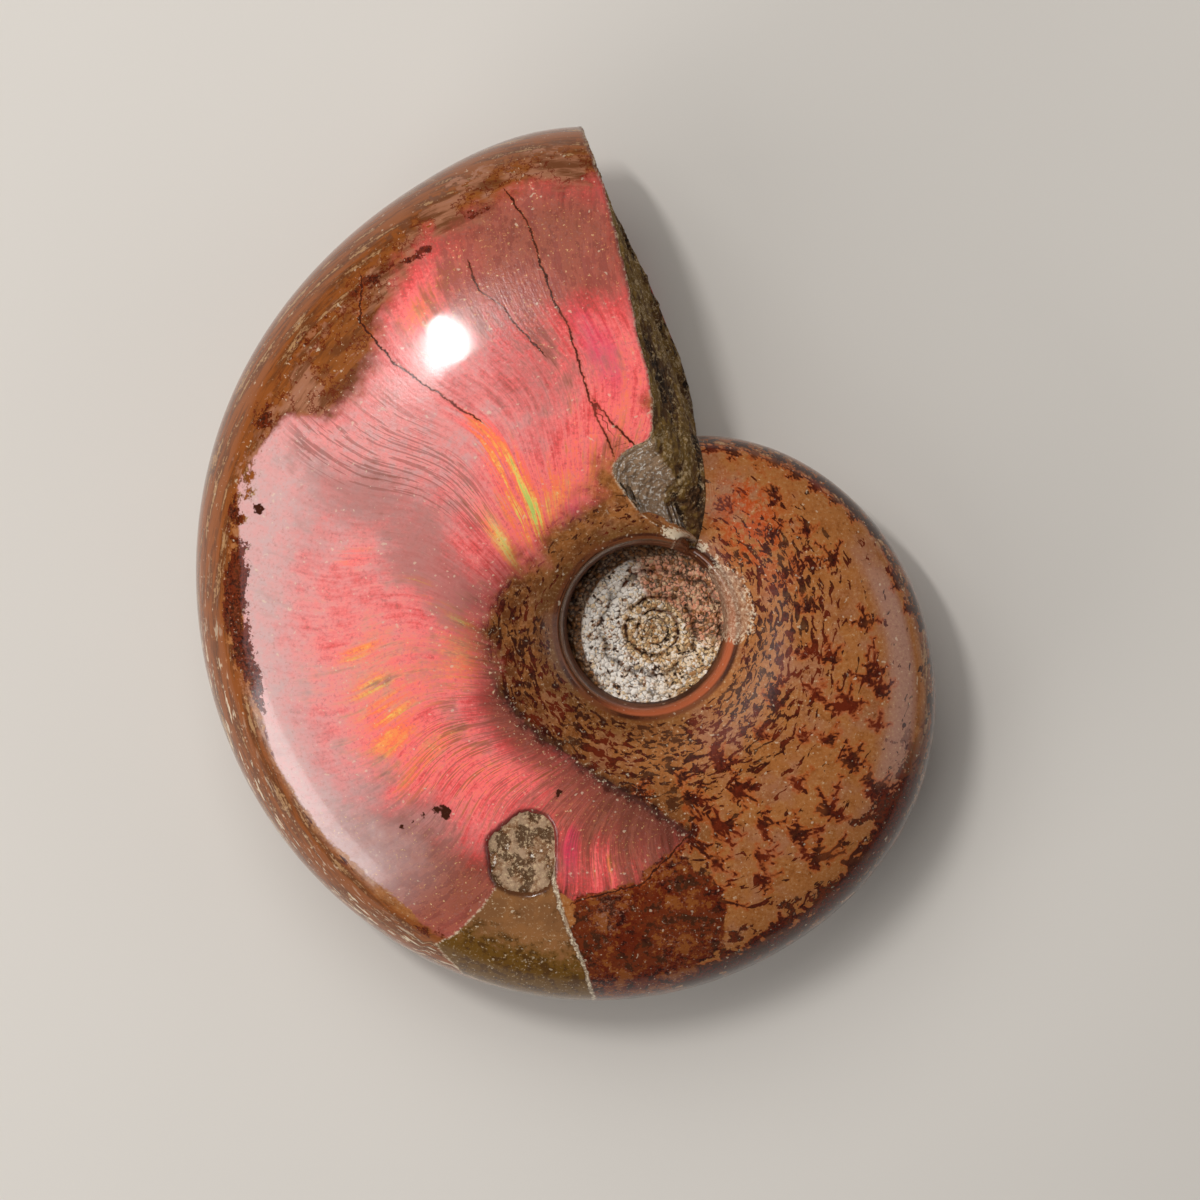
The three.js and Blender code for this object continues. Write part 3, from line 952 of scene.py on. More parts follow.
def closed_patch(name, coil, grid, apex, attributes, ring=False):
    """A closed mesh: a grid on the outside, gathered to one point inside the stone."""
    columns, rows = grid.shape[:2]
    vertices = np.concatenate((grid.reshape(-1, 3), np.array(apex, dtype=float).reshape(-1, 3)))
    faces = strip_faces(columns, rows, ring)
    inner = columns * rows
    if ring:
        centre = inner + 1
        for i in range(columns):
            a, b = i * rows, ((i + 1) % columns) * rows
            faces.append((centre, a, b))
            faces.append((inner, b + rows - 1, a + rows - 1))
    else:
        border = [i * rows for i in range(columns)]
        border += [(columns - 1) * rows + j for j in range(1, rows)]
        border += [i * rows + rows - 1 for i in range(columns - 2, -1, -1)]
        border += list(range(rows - 2, 0, -1))
        for k, corner in enumerate(border):
            faces.append((inner, corner, border[(k + 1) % len(border)]))
    hidden = np.zeros(len(vertices) - inner)
    packed = {key: np.append(values.reshape(-1), hidden) for key, values in attributes.items()}
    return mesh_object(name, coil.lay(vertices), faces, packed)


class Wire:
    """A shader socket. Arithmetic on it adds Math nodes to its shader."""

    def __init__(self, shader, socket):
        self.shader = shader
        self.socket = socket

    def math(self, operation, *values):
        return self.shader.node("ShaderNodeMath", {"operation": operation}, dict(enumerate(values)))

    def __add__(self, other):
        return self.math("ADD", self, other)

    def __radd__(self, other):
        return self.math("ADD", other, self)

    def __sub__(self, other):
        return self.math("SUBTRACT", self, other)

    def __rsub__(self, other):
        return self.math("SUBTRACT", other, self)

    def __mul__(self, other):
        return self.math("MULTIPLY", self, other)

    def __rmul__(self, other):
        return self.math("MULTIPLY", other, self)

    def __truediv__(self, other):
        return self.math("DIVIDE", self, other)

    def __rtruediv__(self, other):
        return self.math("DIVIDE", other, self)

    def __abs__(self):
        return self.math("ABSOLUTE", self)


class Shader:
    """A material whose nodes are added by name."""

    def __init__(self, name):
        self.material = bpy.data.materials.new(name)
        self.material.use_nodes = True
        self.tree = self.material.node_tree
        self.tree.nodes.clear()

    def node(self, kind, settings=None, inputs=None, output=0):
        """Adds a node: first its settings, then the values or links of its sockets."""
        made = self.tree.nodes.new(kind)
        for key, value in (settings or {}).items():
            if key == "stops":
                self.set_stops(made.color_ramp, value)
            else:
                setattr(made, key, value)
        for key, value in (inputs or {}).items():
            if isinstance(value, Wire):
                self.tree.links.new(value.socket, made.inputs[key])
            else:
                made.inputs[key].default_value = value
        return Wire(self, made.outputs[output]) if len(made.outputs) else None

    @staticmethod
    def set_stops(ramp, stops):
        while len(ramp.elements) < len(stops):
            ramp.elements.new(0.5)
        for element, (place, value) in zip(ramp.elements, stops):
            element.position = place
            element.color = value

    def attribute(self, name):
        return self.node("ShaderNodeAttribute", {"attribute_name": name}, output="Fac")

    def places(self):
        """The place on the piece, in millimetres."""
        coordinates = self.node("ShaderNodeTexCoord", output="Object")
        return self.scaled(coordinates, 1 / MM)

    def scaled(self, vector, factor):
        return self.node("ShaderNodeVectorMath", {"operation": "SCALE"}, {0: vector, "Scale": factor})

    def vector(self, x, y, z):
        return self.node("ShaderNodeCombineXYZ", None, {0: x, 1: y, 2: z})

    def noise(self, vector, size, detail=3.0, roughness=0.55, distortion=0.0):
        """Fractal noise from 0 to 1 with lumps of a size in the vector's units."""
        return self.node("ShaderNodeTexNoise", None, {
            "Vector": vector, "Scale": 1 / size, "Detail": detail, "Roughness": roughness,
            "Distortion": distortion})

    def contour(self, value, width):
        """1 where a value is close to a half, and 0 elsewhere: thin, winding lines in a noise."""
        return self.step(abs(value - 0.5), width, width * 0.3)

    def step(self, value, low, high):
        """0 at low, 1 at high and smooth between. low may be above high."""
        return self.node("ShaderNodeMapRange", {"interpolation_type": "SMOOTHSTEP"}, {
            "Value": value, "From Min": low, "From Max": high, "To Min": 0.0, "To Max": 1.0})

    def ramp(self, value, stops):
        return self.node("ShaderNodeValToRGB", {"stops": stops}, {"Fac": value})

    def mix(self, under, over, amount):
        """One colour over another."""
        return self.node("ShaderNodeMix", {"data_type": "RGBA"}, {0: amount, 6: under, 7: over}, 2)

    def bump(self, height, distance, strength=1.0):
        return self.node("ShaderNodeBump", None, {
            "Height": height, "Distance": distance * MM, "Strength": strength})

    def finish(self, inputs):
        shaded = self.node("ShaderNodeBsdfPrincipled", None, inputs)
        self.node("ShaderNodeOutputMaterial", None, {"Surface": shaded})
        return self.material


class SkinShader(Shader):
    """The polished skin: nacre, sutured flank, brown venter, stone, cracks and the pits' walls."""

    def __init__(self, nacre, flank, stone):
        super().__init__("polished_skin")
        self.nacre_colours = nacre
        self.flank_colours = flank
        self.stone_colours = stone
        self.at = self.places()
        self.growth = self.attribute("growth")
        self.run = self.attribute("run")
        self.reach = self.attribute("reach")
        self.wall = self.attribute("wall")
        self.suture = self.attribute("suture")
        self.seam = self.attribute("seam")
        self.fine = self.noise(self.at, 0.32, 3.0, 0.7)
        self.medium = self.noise(self.at, 1.4, 3.0, 0.72)
        self.broad = self.noise(self.at, 4.5, 3.0, 0.64)
        self.streaks = self.noise(self.vector(self.growth * 0.55, self.run * 0.07, 3.0), 0.9, 3.0, 0.67)
        self.hairs = self.noise(self.vector(self.growth * 0.55, self.run * 0.05, 8.0), 0.24, 1.0, 0.6)
        self.uneven = self.medium - 0.5
        self.grit = self.fine - 0.5
        self.drift = self.broad - 0.5
        # Painted shadow: a soft dark band on the skin beside the seam.
        self.seam_shadow = self.step(self.seam + self.drift * 4.0, 4.2, 0.2)
        self.along_seam = self.past(182, 206)

    def past(self, low, high):
        """1 past an angle round the coil, measured along the growth lines, and 0 before it."""
        return self.step(self.growth, low, high)

    def thin_line(self, name, width):
        """1 on a line whose signed and plain distances are attributes, and 0 beside it."""
        middle = self.attribute(name + "_side") + self.uneven * 0.9 + self.grit * 0.3
        return self.step(abs(middle), width, width * 0.4) * self.step(self.attribute(name), 0.8, 0.5)

    def nacre(self):
        """Red nacre with streaks along the growth lines and gold flashes, under a painted reflection: a milky
        haze, grey-white towards the left shoulder. Painted shadow darkens it beside the seam.
        """
        c = self.nacre_colours
        mottle = self.noise(self.vector(self.growth * 0.55, self.run * 0.5, 2.0), 0.75, 3.0, 0.75)
        brush = self.noise(self.vector(self.growth * 0.5, self.run * 0.1, 5.0), 0.6, 2.0, 0.68)
        flashes = self.attribute("flash")
        flash = flashes * (0.1 + self.step(self.streaks, 0.36, 0.62) * 0.9)
        lower = self.past(236, 250)
        lined = self.attribute("lined")
        level = 0.38 + self.drift * 0.45 + (brush - 0.5) * 0.45 + (mottle - 0.5) * 0.2
        level = level + self.grit * 0.45 + (self.hairs - 0.5) * (lined * 0.35 + 0.12)
        level = level + self.attribute("bright") * 0.24 - self.attribute("dull") * 0.3 - lower * 0.2
        level = level + flash * (0.3 + self.hairs * 0.3) + (self.streaks - 0.5) * lower * 1.1
        body = self.ramp(level, (
            (0.0, c.deep), (0.17, c.wine), (0.33, c.crimson), (0.48, c.coral), (0.6, c.ember),
            (0.74, c.orange), (0.86, c.gold), (1.0, c.green)))
        magenta = self.attribute("magenta") + (mottle - 0.5) * 0.8
        body = self.mix(body, c.magenta, self.step(magenta, 0.2, 0.9) * 0.7)
        # Painted reflection: a milky haze of the lights over the nacre, kept off the flashes.
        milky = self.attribute("milky") + self.drift * 1.2 + (mottle - 0.5) * 0.6 + (brush - 0.5)
        milky = self.step(milky, -0.25, 1.25) * self.step(flash, 0.4, 0.05) * (1.0 - lower * 0.8)
        reflected_tint = self.mix(c.haze, c.grey_sheen, self.step(self.medium + self.grit * 0.5, 0.4, 0.64) * 0.7)
        body = self.mix(body, reflected_tint, milky * (0.6 + self.medium * 0.45))
        grey = self.attribute("grey") + self.drift * 1.6 + (mottle - 0.5) * 0.9
        body = self.mix(body, c.grey, self.step(grey, 0.15, 1.0) * 0.7)
        brown = self.attribute("brown") + self.drift * 1.6 + (brush - 0.5) * 2.0 + (mottle - 0.5)
        earthy = self.mix(c.brown, c.line, self.step(brush + (mottle - 0.5) * 1.2, 0.44, 0.6) * 0.75)
        body = self.mix(body, earthy, self.step(brown, 0.1, 1.2) * 0.8)
        # Painted shadow darkens the nacre beside the seam.
        body = self.mix(body, c.deep, self.seam_shadow * (0.3 + self.streaks * 0.5))
        # Painted reflection: grey-white towards the left shoulder, where the side lights show in the polish.
        outward = self.step(self.reach + self.drift * 0.3, 0.5, 0.9)
        grey_sheen = outward * self.past(144, 162) * self.past(232, 218)
        body = self.mix(body, c.grey_sheen, grey_sheen * (0.4 + self.medium * 0.7))
        lines = self.step(self.hairs + (mottle - 0.5) * 0.3, 0.54, 0.6) * self.step(lined, 0.2, 0.8)
        body = self.mix(body, c.line, lines * 0.5)
        body = self.mix(body, c.grey, self.step(self.fine + (mottle - 0.5) * 0.3, 0.48, 0.2) * 0.5)
        amber = self.step(brown, 0.4, 1.0) * self.step(self.fine, 0.6, 0.7)
        return self.mix(body, c.gold, amber * 0.35)

    def slivers(self):
        """Knobbly dark markings that flow round the coil, small beside the pit and larger further out."""
        flow = self.vector(self.attribute("swirl") * 11.5, self.attribute("spread") * 24.0, 0.0)
        marks = self.noise(flow, 1.0, 3.0, 0.62, 0.6) + self.grit * 0.05
        sparse = self.step(self.run, 6.0, 14.0) * 0.12 + self.past(390, 412) * 0.08
        sparse = sparse + self.past(168, 150) * 0.08 + self.step(self.run, 1.2, 0.4) * 0.2
        return self.step(marks - sparse, 0.5, 0.52)

    def sutured(self):
        """Tan flank with branched dark markings, painted shade beside the seam and a painted lilac reflection
        near the right shoulder.
        """
        c = self.flank_colours
        body = self.mix(c.tan, c.rose, self.step(self.broad, 0.48, 0.66) * 0.7)
        body = self.mix(body, c.ochre, self.step(self.medium, 0.46, 0.7) * 0.7)
        stain = self.attribute("stain") * self.step(self.medium, 0.4, 0.56)
        body = self.mix(body, c.stain, stain)
        # Painted reflection: a lilac band near the right shoulder, where the right light shows in the polish.
        shoulder_reflection = self.step(self.reach, 0.7, 0.8) * self.step(self.reach, 0.9, 0.87)
        shoulder_reflection = shoulder_reflection * self.past(312, 335) * self.past(386, 366)
        body = self.mix(body, c.haze, shoulder_reflection * 0.8)
        near_rim = self.step(self.run, 4.6, 0.8)
        rim_tone = self.mix(c.umber, c.olive, self.step(self.broad + self.uneven * 0.5, 0.42, 0.56))
        body = self.mix(body, rim_tone, near_rim * self.past(300, 240) * 0.7)
        # Painted shade: umber beside the seam and, in patches, on the flank left of the pit.
        shade = self.seam_shadow + self.past(240, 190) * self.step(self.medium, 0.4, 0.6)
        body = self.mix(body, c.umber, shade * 0.6)
        body = self.mix(body, c.grain, self.step(self.fine, 0.5, 0.74) * 0.55)
        body = self.mix(body, c.umber, self.step(self.fine, 0.46, 0.26) * 0.6)
        ragged = self.suture + self.uneven * 0.2 + self.grit * 0.16
        slivers = self.slivers()
        halo = self.mix(body, c.stain, self.step(ragged, 0.22, 0.0) * 0.5)
        core = self.step(self.broad + self.grit * 0.4, 0.62, 0.42)
        dark = self.mix(c.suture, c.suture_core, core)
        faint = 0.72 + self.step(self.broad, 0.34, 0.5) * 0.25
        halo = self.mix(halo, dark, slivers * faint)
        return self.mix(halo, dark, self.step(ragged, 0.05, -0.05) * faint)

    def venter(self, under):
        """The brown, half clear venter with pale streaks round the coil."""
        c = self.flank_colours
        round_coil = self.noise(self.vector(self.growth * 0.12, self.run * 1.2, 2.0), 1.1, 3.0, 0.72)
        band = self.mix(c.band, c.umber, self.step(round_coil, 0.42, 0.6))
        flecks = self.step(round_coil + self.grit * 0.35 + self.uneven * 0.3, 0.56, 0.66)
        band = self.mix(band, c.band_pale, flecks * 0.75)
        chips = self.noise(self.vector(self.growth * 0.3, self.run * 1.6, 9.0), 0.8, 2.0, 0.7)
        low_left = self.past(170, 192) * self.past(250, 238)
        outer = self.step(self.reach, 0.9, 0.95)
        band = self.mix(band, c.speck, self.step(chips, 0.57, 0.64) * low_left * outer * 0.8)
        blots = self.suture + self.uneven * 7.0 + self.grit * 2.0
        right = self.past(246, 262)
        band = self.mix(band, c.suture_core, self.step(blots, 0.5, 0.1) * right * 0.9)
        where = self.reach + self.uneven * (self.past(196, 184) * 0.18 + 0.05)
        further = self.past(255, 300) * 0.05 + self.past(140, 110) * 0.06
        body = self.mix(under, band, self.step(where - further, 0.865, 0.89))
        blot = self.attribute("blot") + self.uneven * 2.6 + self.grit * 1.4
        blot_tone = self.mix(c.suture_core, c.suture, self.step(self.fine, 0.42, 0.56))
        near_blot = self.step(self.attribute("blot"), 0.1, 0.3)
        body = self.mix(body, blot_tone, self.step(blot, 0.42, 0.6) * near_blot * 0.9)
        lobed = self.reach + self.drift * 0.6 + self.uneven * 0.5
        lobes = self.step(lobed, 0.86, 0.88) * self.step(self.reach, 0.965, 0.95)
        lobes = lobes * self.past(256, 262) * self.past(350, 325)
        tone = self.mix(c.suture, c.suture_core, self.step(self.fine, 0.4, 0.6))
        return self.mix(body, tone, lobes * 0.9)

    def upper_left(self):
        """Pinkish brown shell between the nacre and the venter."""
        c = self.flank_colours
        bands = self.noise(self.vector(self.growth * 0.16, self.run * 0.9, 6.0), 1.3, 3.0, 0.72)
        body = self.mix(c.rose, c.ochre, self.step(self.broad, 0.42, 0.54))
        body = self.mix(body, c.umber, self.step(bands, 0.42, 0.6) * 0.85)
        body = self.mix(body, c.haze, self.step(bands, 0.4, 0.3) * 0.6)
        body = self.mix(body, c.grain, self.step(self.fine, 0.6, 0.72) * 0.5)
        blots = self.contour(self.medium + self.drift * 0.8, 0.035)
        return self.mix(body, c.suture, blots * 0.8)

    def stone_patch(self):
        """Polished stone, grey-brown above and olive near the venter, with fine pale grains."""
        c = self.stone_colours
        body = self.mix(c.smooth_olive, c.tan, self.step(self.broad, 0.4, 0.6) * 0.4)
        body = self.mix(body, c.brown, self.step(self.medium, 0.54, 0.76) * 0.6)
        olive = self.mix(c.olive, c.brown, self.step(self.medium, 0.5, 0.62) * 0.8)
        body = self.mix(body, olive, self.step(self.reach + self.uneven * 0.3, 0.76, 0.86))
        return self.mix(body, c.pale, self.step(self.fine, 0.56, 0.72) * 0.5)

    def dark_patch(self):
        """Half clear red-brown shell with dark mottling."""
        c = self.flank_colours
        mottled = self.noise(self.at, 1.7, 4.0, 0.8)
        body = self.mix(c.suture_core, c.suture, self.step(mottled, 0.42, 0.5))
        body = self.mix(body, c.ochre, self.step(mottled + self.drift * 0.4, 0.53, 0.6) * 0.8)
        return self.mix(body, c.haze, self.step(self.fine + self.drift * 0.4, 0.56, 0.7) * 0.5)

    def base_colour(self):
        c = self.flank_colours
        inside = self.attribute("nacre") + self.uneven * 1.4
        soft = self.past(158, 138)
        inner = self.past(205, 180) * self.step(self.reach, 0.5, 0.3)
        nacre_mask = self.step((inside + self.drift * (soft + inner) * 6.0) / (
            0.3 + soft * 2.4 + inner * 2.4), -0.5, 0.5)
        left_shell = self.past(168, 158)
        flank = self.mix(self.sutured(), self.upper_left(), left_shell * self.step(self.reach, 0.3, 0.45))
        body = self.mix(flank, self.nacre(), nacre_mask)
        body = self.venter(body)
        umber = self.attribute("umber") + self.drift * 4.0 + self.uneven * 2.0 + 0.6
        body = self.mix(body, self.dark_patch(), self.step(umber, -0.1, 0.2) * 0.9)
        olive = self.attribute("olive") + self.uneven * 0.5
        body = self.mix(body, self.stone_patch(), self.step(olive, -0.05, 0.08))
        border = self.step(olive, -0.2, -0.02) * self.step(olive, 0.2, 0.02)
        body = self.mix(body, c.speck, border * self.step(self.fine, 0.44, 0.58) * 0.6)
        pane = self.attribute("pane") + self.uneven * 0.7
        body = self.mix(body, c.crack, self.step(pane, -0.4, 0.0) * 0.7)
        body = self.mix(body, c.crack, self.step(self.attribute("spot") + self.uneven * 1.6, 0.12, -0.05))
        return self.lines(self.rim_and_wall(body))

    def rim_and_wall(self, body):
        """The scar beside the pit, the pit's brown, half clear rim and its layered wall, with painted light
        on the wall's lower right side and painted shade further down it.
        """
        c = self.flank_colours
        x = self.node("ShaderNodeSeparateXYZ", None, {0: self.at}, "X")
        y = self.node("ShaderNodeSeparateXYZ", None, {0: self.at}, "Y")
        # Painted light: the wall is lighter on its lower right side, which faces the lights.
        lit = self.step(x - y, 14.0, 22.0) * self.step(self.wall, 0.0, 0.15) * self.step(self.wall, 0.6, 0.35)
        layers = self.noise(self.vector(self.wall * 7.0, self.growth * 0.02, 0.0), 1.0, 2.0, 0.5)
        tone = self.mix(c.wall, c.suture_core, self.step(layers + self.grit * 0.3, 0.4, 0.62) * 0.8)
        tone = self.mix(tone, c.wall_lit_side, lit * 0.85)
        # Painted shade: the wall darkens further down into the pit.
        tone = self.mix(tone, c.suture_core, self.step(self.wall, 0.5, 1.0) * 0.7)
        body = self.mix(body, tone, self.step(self.run + self.grit * 0.3, 0.6, 0.2))
        scar = self.attribute("scar") + self.uneven * 1.6
        scarred = self.mix(c.scar, c.umber, self.step(self.fine, 0.5, 0.36) * 0.7)
        scarred = self.mix(scarred, c.speck, self.step(self.fine, 0.52, 0.66) * 0.8)
        body = self.mix(body, scarred, self.step(scar, -0.1, 0.4) * (0.3 + self.medium * 0.7))
        ring = self.step(scar, -0.35, -0.02) * self.step(scar, 0.5, 0.05)
        return self.mix(body, c.speck, ring * self.step(self.fine, 0.46, 0.6) * 0.8)

    def lines(self, body):
        """Cracks, the seam, crumbs along the broken edge and specks of dust."""
        c = self.flank_colours
        rough_fine = self.step(self.fine, 0.46, 0.6)
        body = self.mix(body, c.stain, self.thin_line("crack", 0.3) * 0.3)
        body = self.mix(body, c.crack, self.thin_line("crack", 0.14) * (0.5 + self.broad * 0.8))
        seam = self.seam + self.uneven * 2.6
        body = self.mix(body, c.suture_core, self.step(seam, 0.9, 0.0) * self.along_seam * 0.75)
        crumbs = self.step(seam, 1.6, 0.6) * self.step(self.fine, 0.58, 0.68)
        body = self.mix(body, c.speck, crumbs * self.past(140, 165) * 0.4)
        body = self.mix(body, c.crack, self.thin_line("pale_crack", 0.36) * 0.5)
        body = self.mix(body, c.speck, self.thin_line("pale_crack", 0.24) * (0.3 + rough_fine * 0.6))
        edge = self.attribute("edge") + self.grit * 0.8
        body = self.mix(body, c.speck, self.step(edge, 0.35, 0.1) * self.step(self.fine, 0.46, 0.6) * 0.85)
        crumb = self.attribute("crumb") + self.grit * 3.0
        on_rim = self.step(self.wall, 0.1, 0.0)
        body = self.mix(body, c.speck, self.step(crumb, 0.5, 0.75) * on_rim * 0.8)
        dust = self.step(self.noise(self.at, 0.42, 0.0, 0.5), 0.73, 0.79)
        return self.mix(body, c.speck, dust * self.step(self.medium, 0.5, 0.6) * 0.45)

    def build(self):
        worn = self.step(self.run, 10.0, 5.0) * self.step(self.wall, 0.02, 0.0)
        worn = worn * self.past(200, 240)
        rough = 0.2 + self.grit * 0.25
        inside = self.step(self.wall, 0.3, 0.6)
        rough = rough + self.step(self.seam, 0.5, 0.1) * 0.3 + worn * 0.15 + inside * 0.4
        rough = rough + self.step(self.attribute("edge"), 0.4, 0.1) * 0.4
        ridges = (self.hairs - 0.5) * 0.5 + self.grit * 0.8
        return self.finish({
            "Base Color": self.base_colour(),
            "Roughness": rough,
            "Normal": self.bump(ridges * 0.04, 1.0, 0.6),
            "Coat Weight": 0.45 - (worn + inside) * 0.45,
            "Coat Roughness": 0.08,
            "IOR": 1.3,
        })


def broken_stone_shader(stone, flank):
    """Rough olive and dark brown stone, with pale crumbs along the edge of the shell."""
    s = Shader("broken_stone")
    at = s.places()
    depth = s.attribute("depth")
    rim = s.attribute("rim")
    chip = s.attribute("chip")
    fine = s.noise(at, 0.35, 4.0, 0.75)
    coarse = s.noise(at, 1.8, 4.0, 0.7)
    body = s.mix(stone.face_brown, stone.face_olive, s.step(coarse + (depth - 0.5) * 0.6, 0.4, 0.54))
    body = s.mix(body, stone.black, s.step(depth + (fine - 0.5) * 0.7, 0.36, 0.16) * 0.8)
    body = s.mix(body, stone.pale, s.step(fine + (coarse - 0.5) * 0.5, 0.54, 0.62) * 0.7)
    chipped = s.mix(stone.grey, stone.olive, s.step(fine, 0.4, 0.56) * 0.5)
    chipped = s.mix(chipped, stone.black, s.step(fine, 0.42, 0.26) * 0.6)
    chipped = s.mix(chipped, stone.white, s.step(fine, 0.52, 0.6) * 0.85)
    body = s.mix(body, chipped, s.step(chip + (coarse - 0.5) * 0.6, 0.35, 0.6))
    crumbs = s.mix(stone.pale, flank.umber, s.step(fine, 0.44, 0.56))
    near_edge = s.step(rim + (fine - 0.5) * 0.7, 0.4, 0.15) * s.step(s.attribute("reach"), 0.15, 0.25)
    body = s.mix(body, crumbs, near_edge)
    return s.finish({
        "Base Color": body,
        "Roughness": 0.62 + (fine - 0.5) * 0.3,
        "Normal": s.bump(fine + coarse * 0.5, 0.25, 0.9),
        "IOR": 1.35,
    })


def crust_shader(name, stone):
    """Grains of white, cream, reddish and dark mineral on the pit's floor, with painted shadow along the
    outer edge on the upper left.
    """
    s = Shader(name)
    at = s.places()
    height = s.attribute("grain")
    own = s.attribute("own")
    groove = s.attribute("groove")
    fine = s.noise(at, 0.2, 3.0, 0.6)
    lumpy = (s.noise(at, 1.1, 3.0, 0.6) - 0.5) * 0.5
    pick = own + (fine - 0.5) * 0.3
    white = s.ramp(pick, (
        (0.0, stone.white), (0.5, stone.white), (0.64, stone.cream), (0.76, stone.white),
        (0.88, stone.tan), (0.95, stone.dark)))
    golden = s.ramp(pick, (
        (0.0, stone.cream), (0.3, stone.white), (0.45, stone.cream), (0.65, stone.tan),
        (0.8, stone.cream), (0.92, stone.dark)))
    warm = s.ramp(pick, (
        (0.0, stone.rose), (0.2, stone.pale), (0.36, stone.rose), (0.55, stone.tan),
        (0.76, stone.dark), (0.86, stone.grey), (1.0, stone.rose)))
    # Dark grains under painted shadow, along the crust's outer edge on the upper left.
    murky = s.ramp(pick, ((0.0, stone.dark), (0.4, stone.tan), (0.6, stone.dark), (0.9, stone.grey)))
    body = s.mix(white, golden, s.step(s.attribute("golden") + lumpy, 0.35, 0.65))
    body = s.mix(body, warm, s.step(s.attribute("rosy") + lumpy, 0.35, 0.65))
    body = s.mix(body, murky, s.step(s.attribute("murky") + lumpy, 0.35, 0.65))
    body = s.mix(body, stone.dark, s.step(groove + (own - 0.5) * 0.5 + (fine - 0.5) * 0.6, 0.4, 1.0) * 0.65)
    body = s.mix(body, stone.dark, s.step(height, 0.24, 0.06) * 0.75)
    return s.finish({
        "Base Color": body,
        "Roughness": 0.5 + (fine - 0.5) * 0.3,
        "Normal": s.bump(fine, 0.12, 0.7),
        "IOR": 1.5,
    })


def window_shader(stone):
    """Grey-brown stone with pale crystals, where the shell has flaked off."""
    s = Shader("window_stone")
    at = s.places()
    fine = s.noise(at, 0.3, 4.0, 0.78)
    coarse = s.noise(at, 1.3, 4.0, 0.65)
    body = s.mix(stone.grey, stone.smooth_olive, s.step(coarse, 0.42, 0.6))
    body = s.mix(body, stone.brown, s.step(fine + (s.attribute("hollow") - 0.5) * 0.6, 0.5, 0.64) * 0.85)
    body = s.mix(body, stone.pale, s.step(fine, 0.48, 0.36) * 0.9)
    body = s.mix(body, stone.white, s.step(coarse - fine * 0.4, 0.42, 0.5) * 0.7)
    return s.finish({
        "Base Color": body,
        "Roughness": 0.6 + (fine - 0.5) * 0.3,
        "Normal": s.bump(fine * -1.0, 0.15, 0.9),
        "IOR": 1.4,
    })


def settings():
    """The scene's property groups."""
    scene = bpy.context.scene
    return {key: getattr(scene, key) for key in GROUPS}


def current_coil():
    groups = settings()
    return Coil(groups["ammonite_coil"], groups["ammonite_surface"])


class AMMONITE_OT_skin(bpy.types.Operator):
    """Builds the polished outer skin with the walls of both pits"""

    bl_idname = "ammonite.skin"
    bl_label = "Outer skin"

    def execute(self, context):
        groups = settings()
        skin = Skin(current_coil(), groups["ammonite_surface"])
        vertices, faces, attributes = skin.build()
        piece = mesh_object("ammonite_skin", vertices, faces, attributes)
        shader = SkinShader(groups["ammonite_nacre"], groups["ammonite_flank"], groups["ammonite_stone"])
        dress(piece, shader.build())
        return {"FINISHED"}


class AMMONITE_OT_broken_face(bpy.types.Operator):
    """Builds the rough broken face at the coil's outer end"""

    bl_idname = "ammonite.broken_face"
    bl_label = "Broken face"

    ACROSS = 170
    ROUND = 400
    # The stone's layers are drawn out along the face. Sizes are in millimetres.
    STRETCH = (1.0, 0.35, 0.8)
    LAYER_SIZE, CRUMB_SIZE, CELL_SIZE = 2.6, 0.7, 0.8
    LAYER_SHARE, CRUMB_SHARE, CELL_SHARE = 0.62, 0.28, 0.3
    SUNK = 0.12
    # The chip: shares of the way from the rim to the venter, and from the foot to the broken edge.
    CHIP_REACH = (0.3, 0.16)
    CHIP_ALONG = (0.3, 0.6)

    def execute(self, context):
        groups = settings()
        coil = current_coil()
        half = self.ROUND // 2
        row = np.concatenate((np.linspace(0, 1, half), np.linspace(1, 0, half)[1:]))
        side = np.concatenate((np.ones(half), -np.ones(half - 1)))
        reach = coil.section(row)[0]
        foot = coil.flank(through(BREAK_FOOT, reach), row, side)
        edge = coil.flank(coil.break_angle(reach, side), row, side)
        t = np.linspace(0, 1, self.ACROSS)[:, None, None]
        grid = foot * (1 - t) + edge * t
        normal = outward_normals(grid)
        border = np.minimum(t[..., 0], 1 - t[..., 0]) * np.linalg.norm(edge - foot, axis=1)
        inner = smooth_step(border, 0.0, 1.0)
        relief = groups["ammonite_surface"].break_relief / MM
        layers = lumps(grid * np.array(self.STRETCH), self.LAYER_SIZE, 4)
        crumbs = lumps(grid, self.CRUMB_SIZE, 3, offset=5.0)
        cells = grains(grid, self.CELL_SIZE)[0]
        height = self.LAYER_SHARE * layers + self.CRUMB_SHARE * crumbs + self.CELL_SHARE * (cells - 0.5)
        grid = grid + normal * (relief * height * inner - self.SUNK * inner)[..., None]
        depth = np.clip(0.5 + height * 0.7, 0, 1)
        distance = np.linalg.norm(edge - foot, axis=1) * (1 - t[..., 0])
        chip = smooth_step(reach, *self.CHIP_REACH) * (side > 0) * smooth_step(t[..., 0], *self.CHIP_ALONG)
        attributes = {
            "depth": depth,
            "rim": distance,
            "chip": np.broadcast_to(chip, depth.shape),
            "reach": np.broadcast_to(reach, depth.shape),
        }
        piece = closed_patch("broken_face", coil, grid, INSIDE, attributes)
        material = broken_stone_shader(groups["ammonite_stone"], groups["ammonite_flank"])
        dress(piece, material)
        return {"FINISHED"}


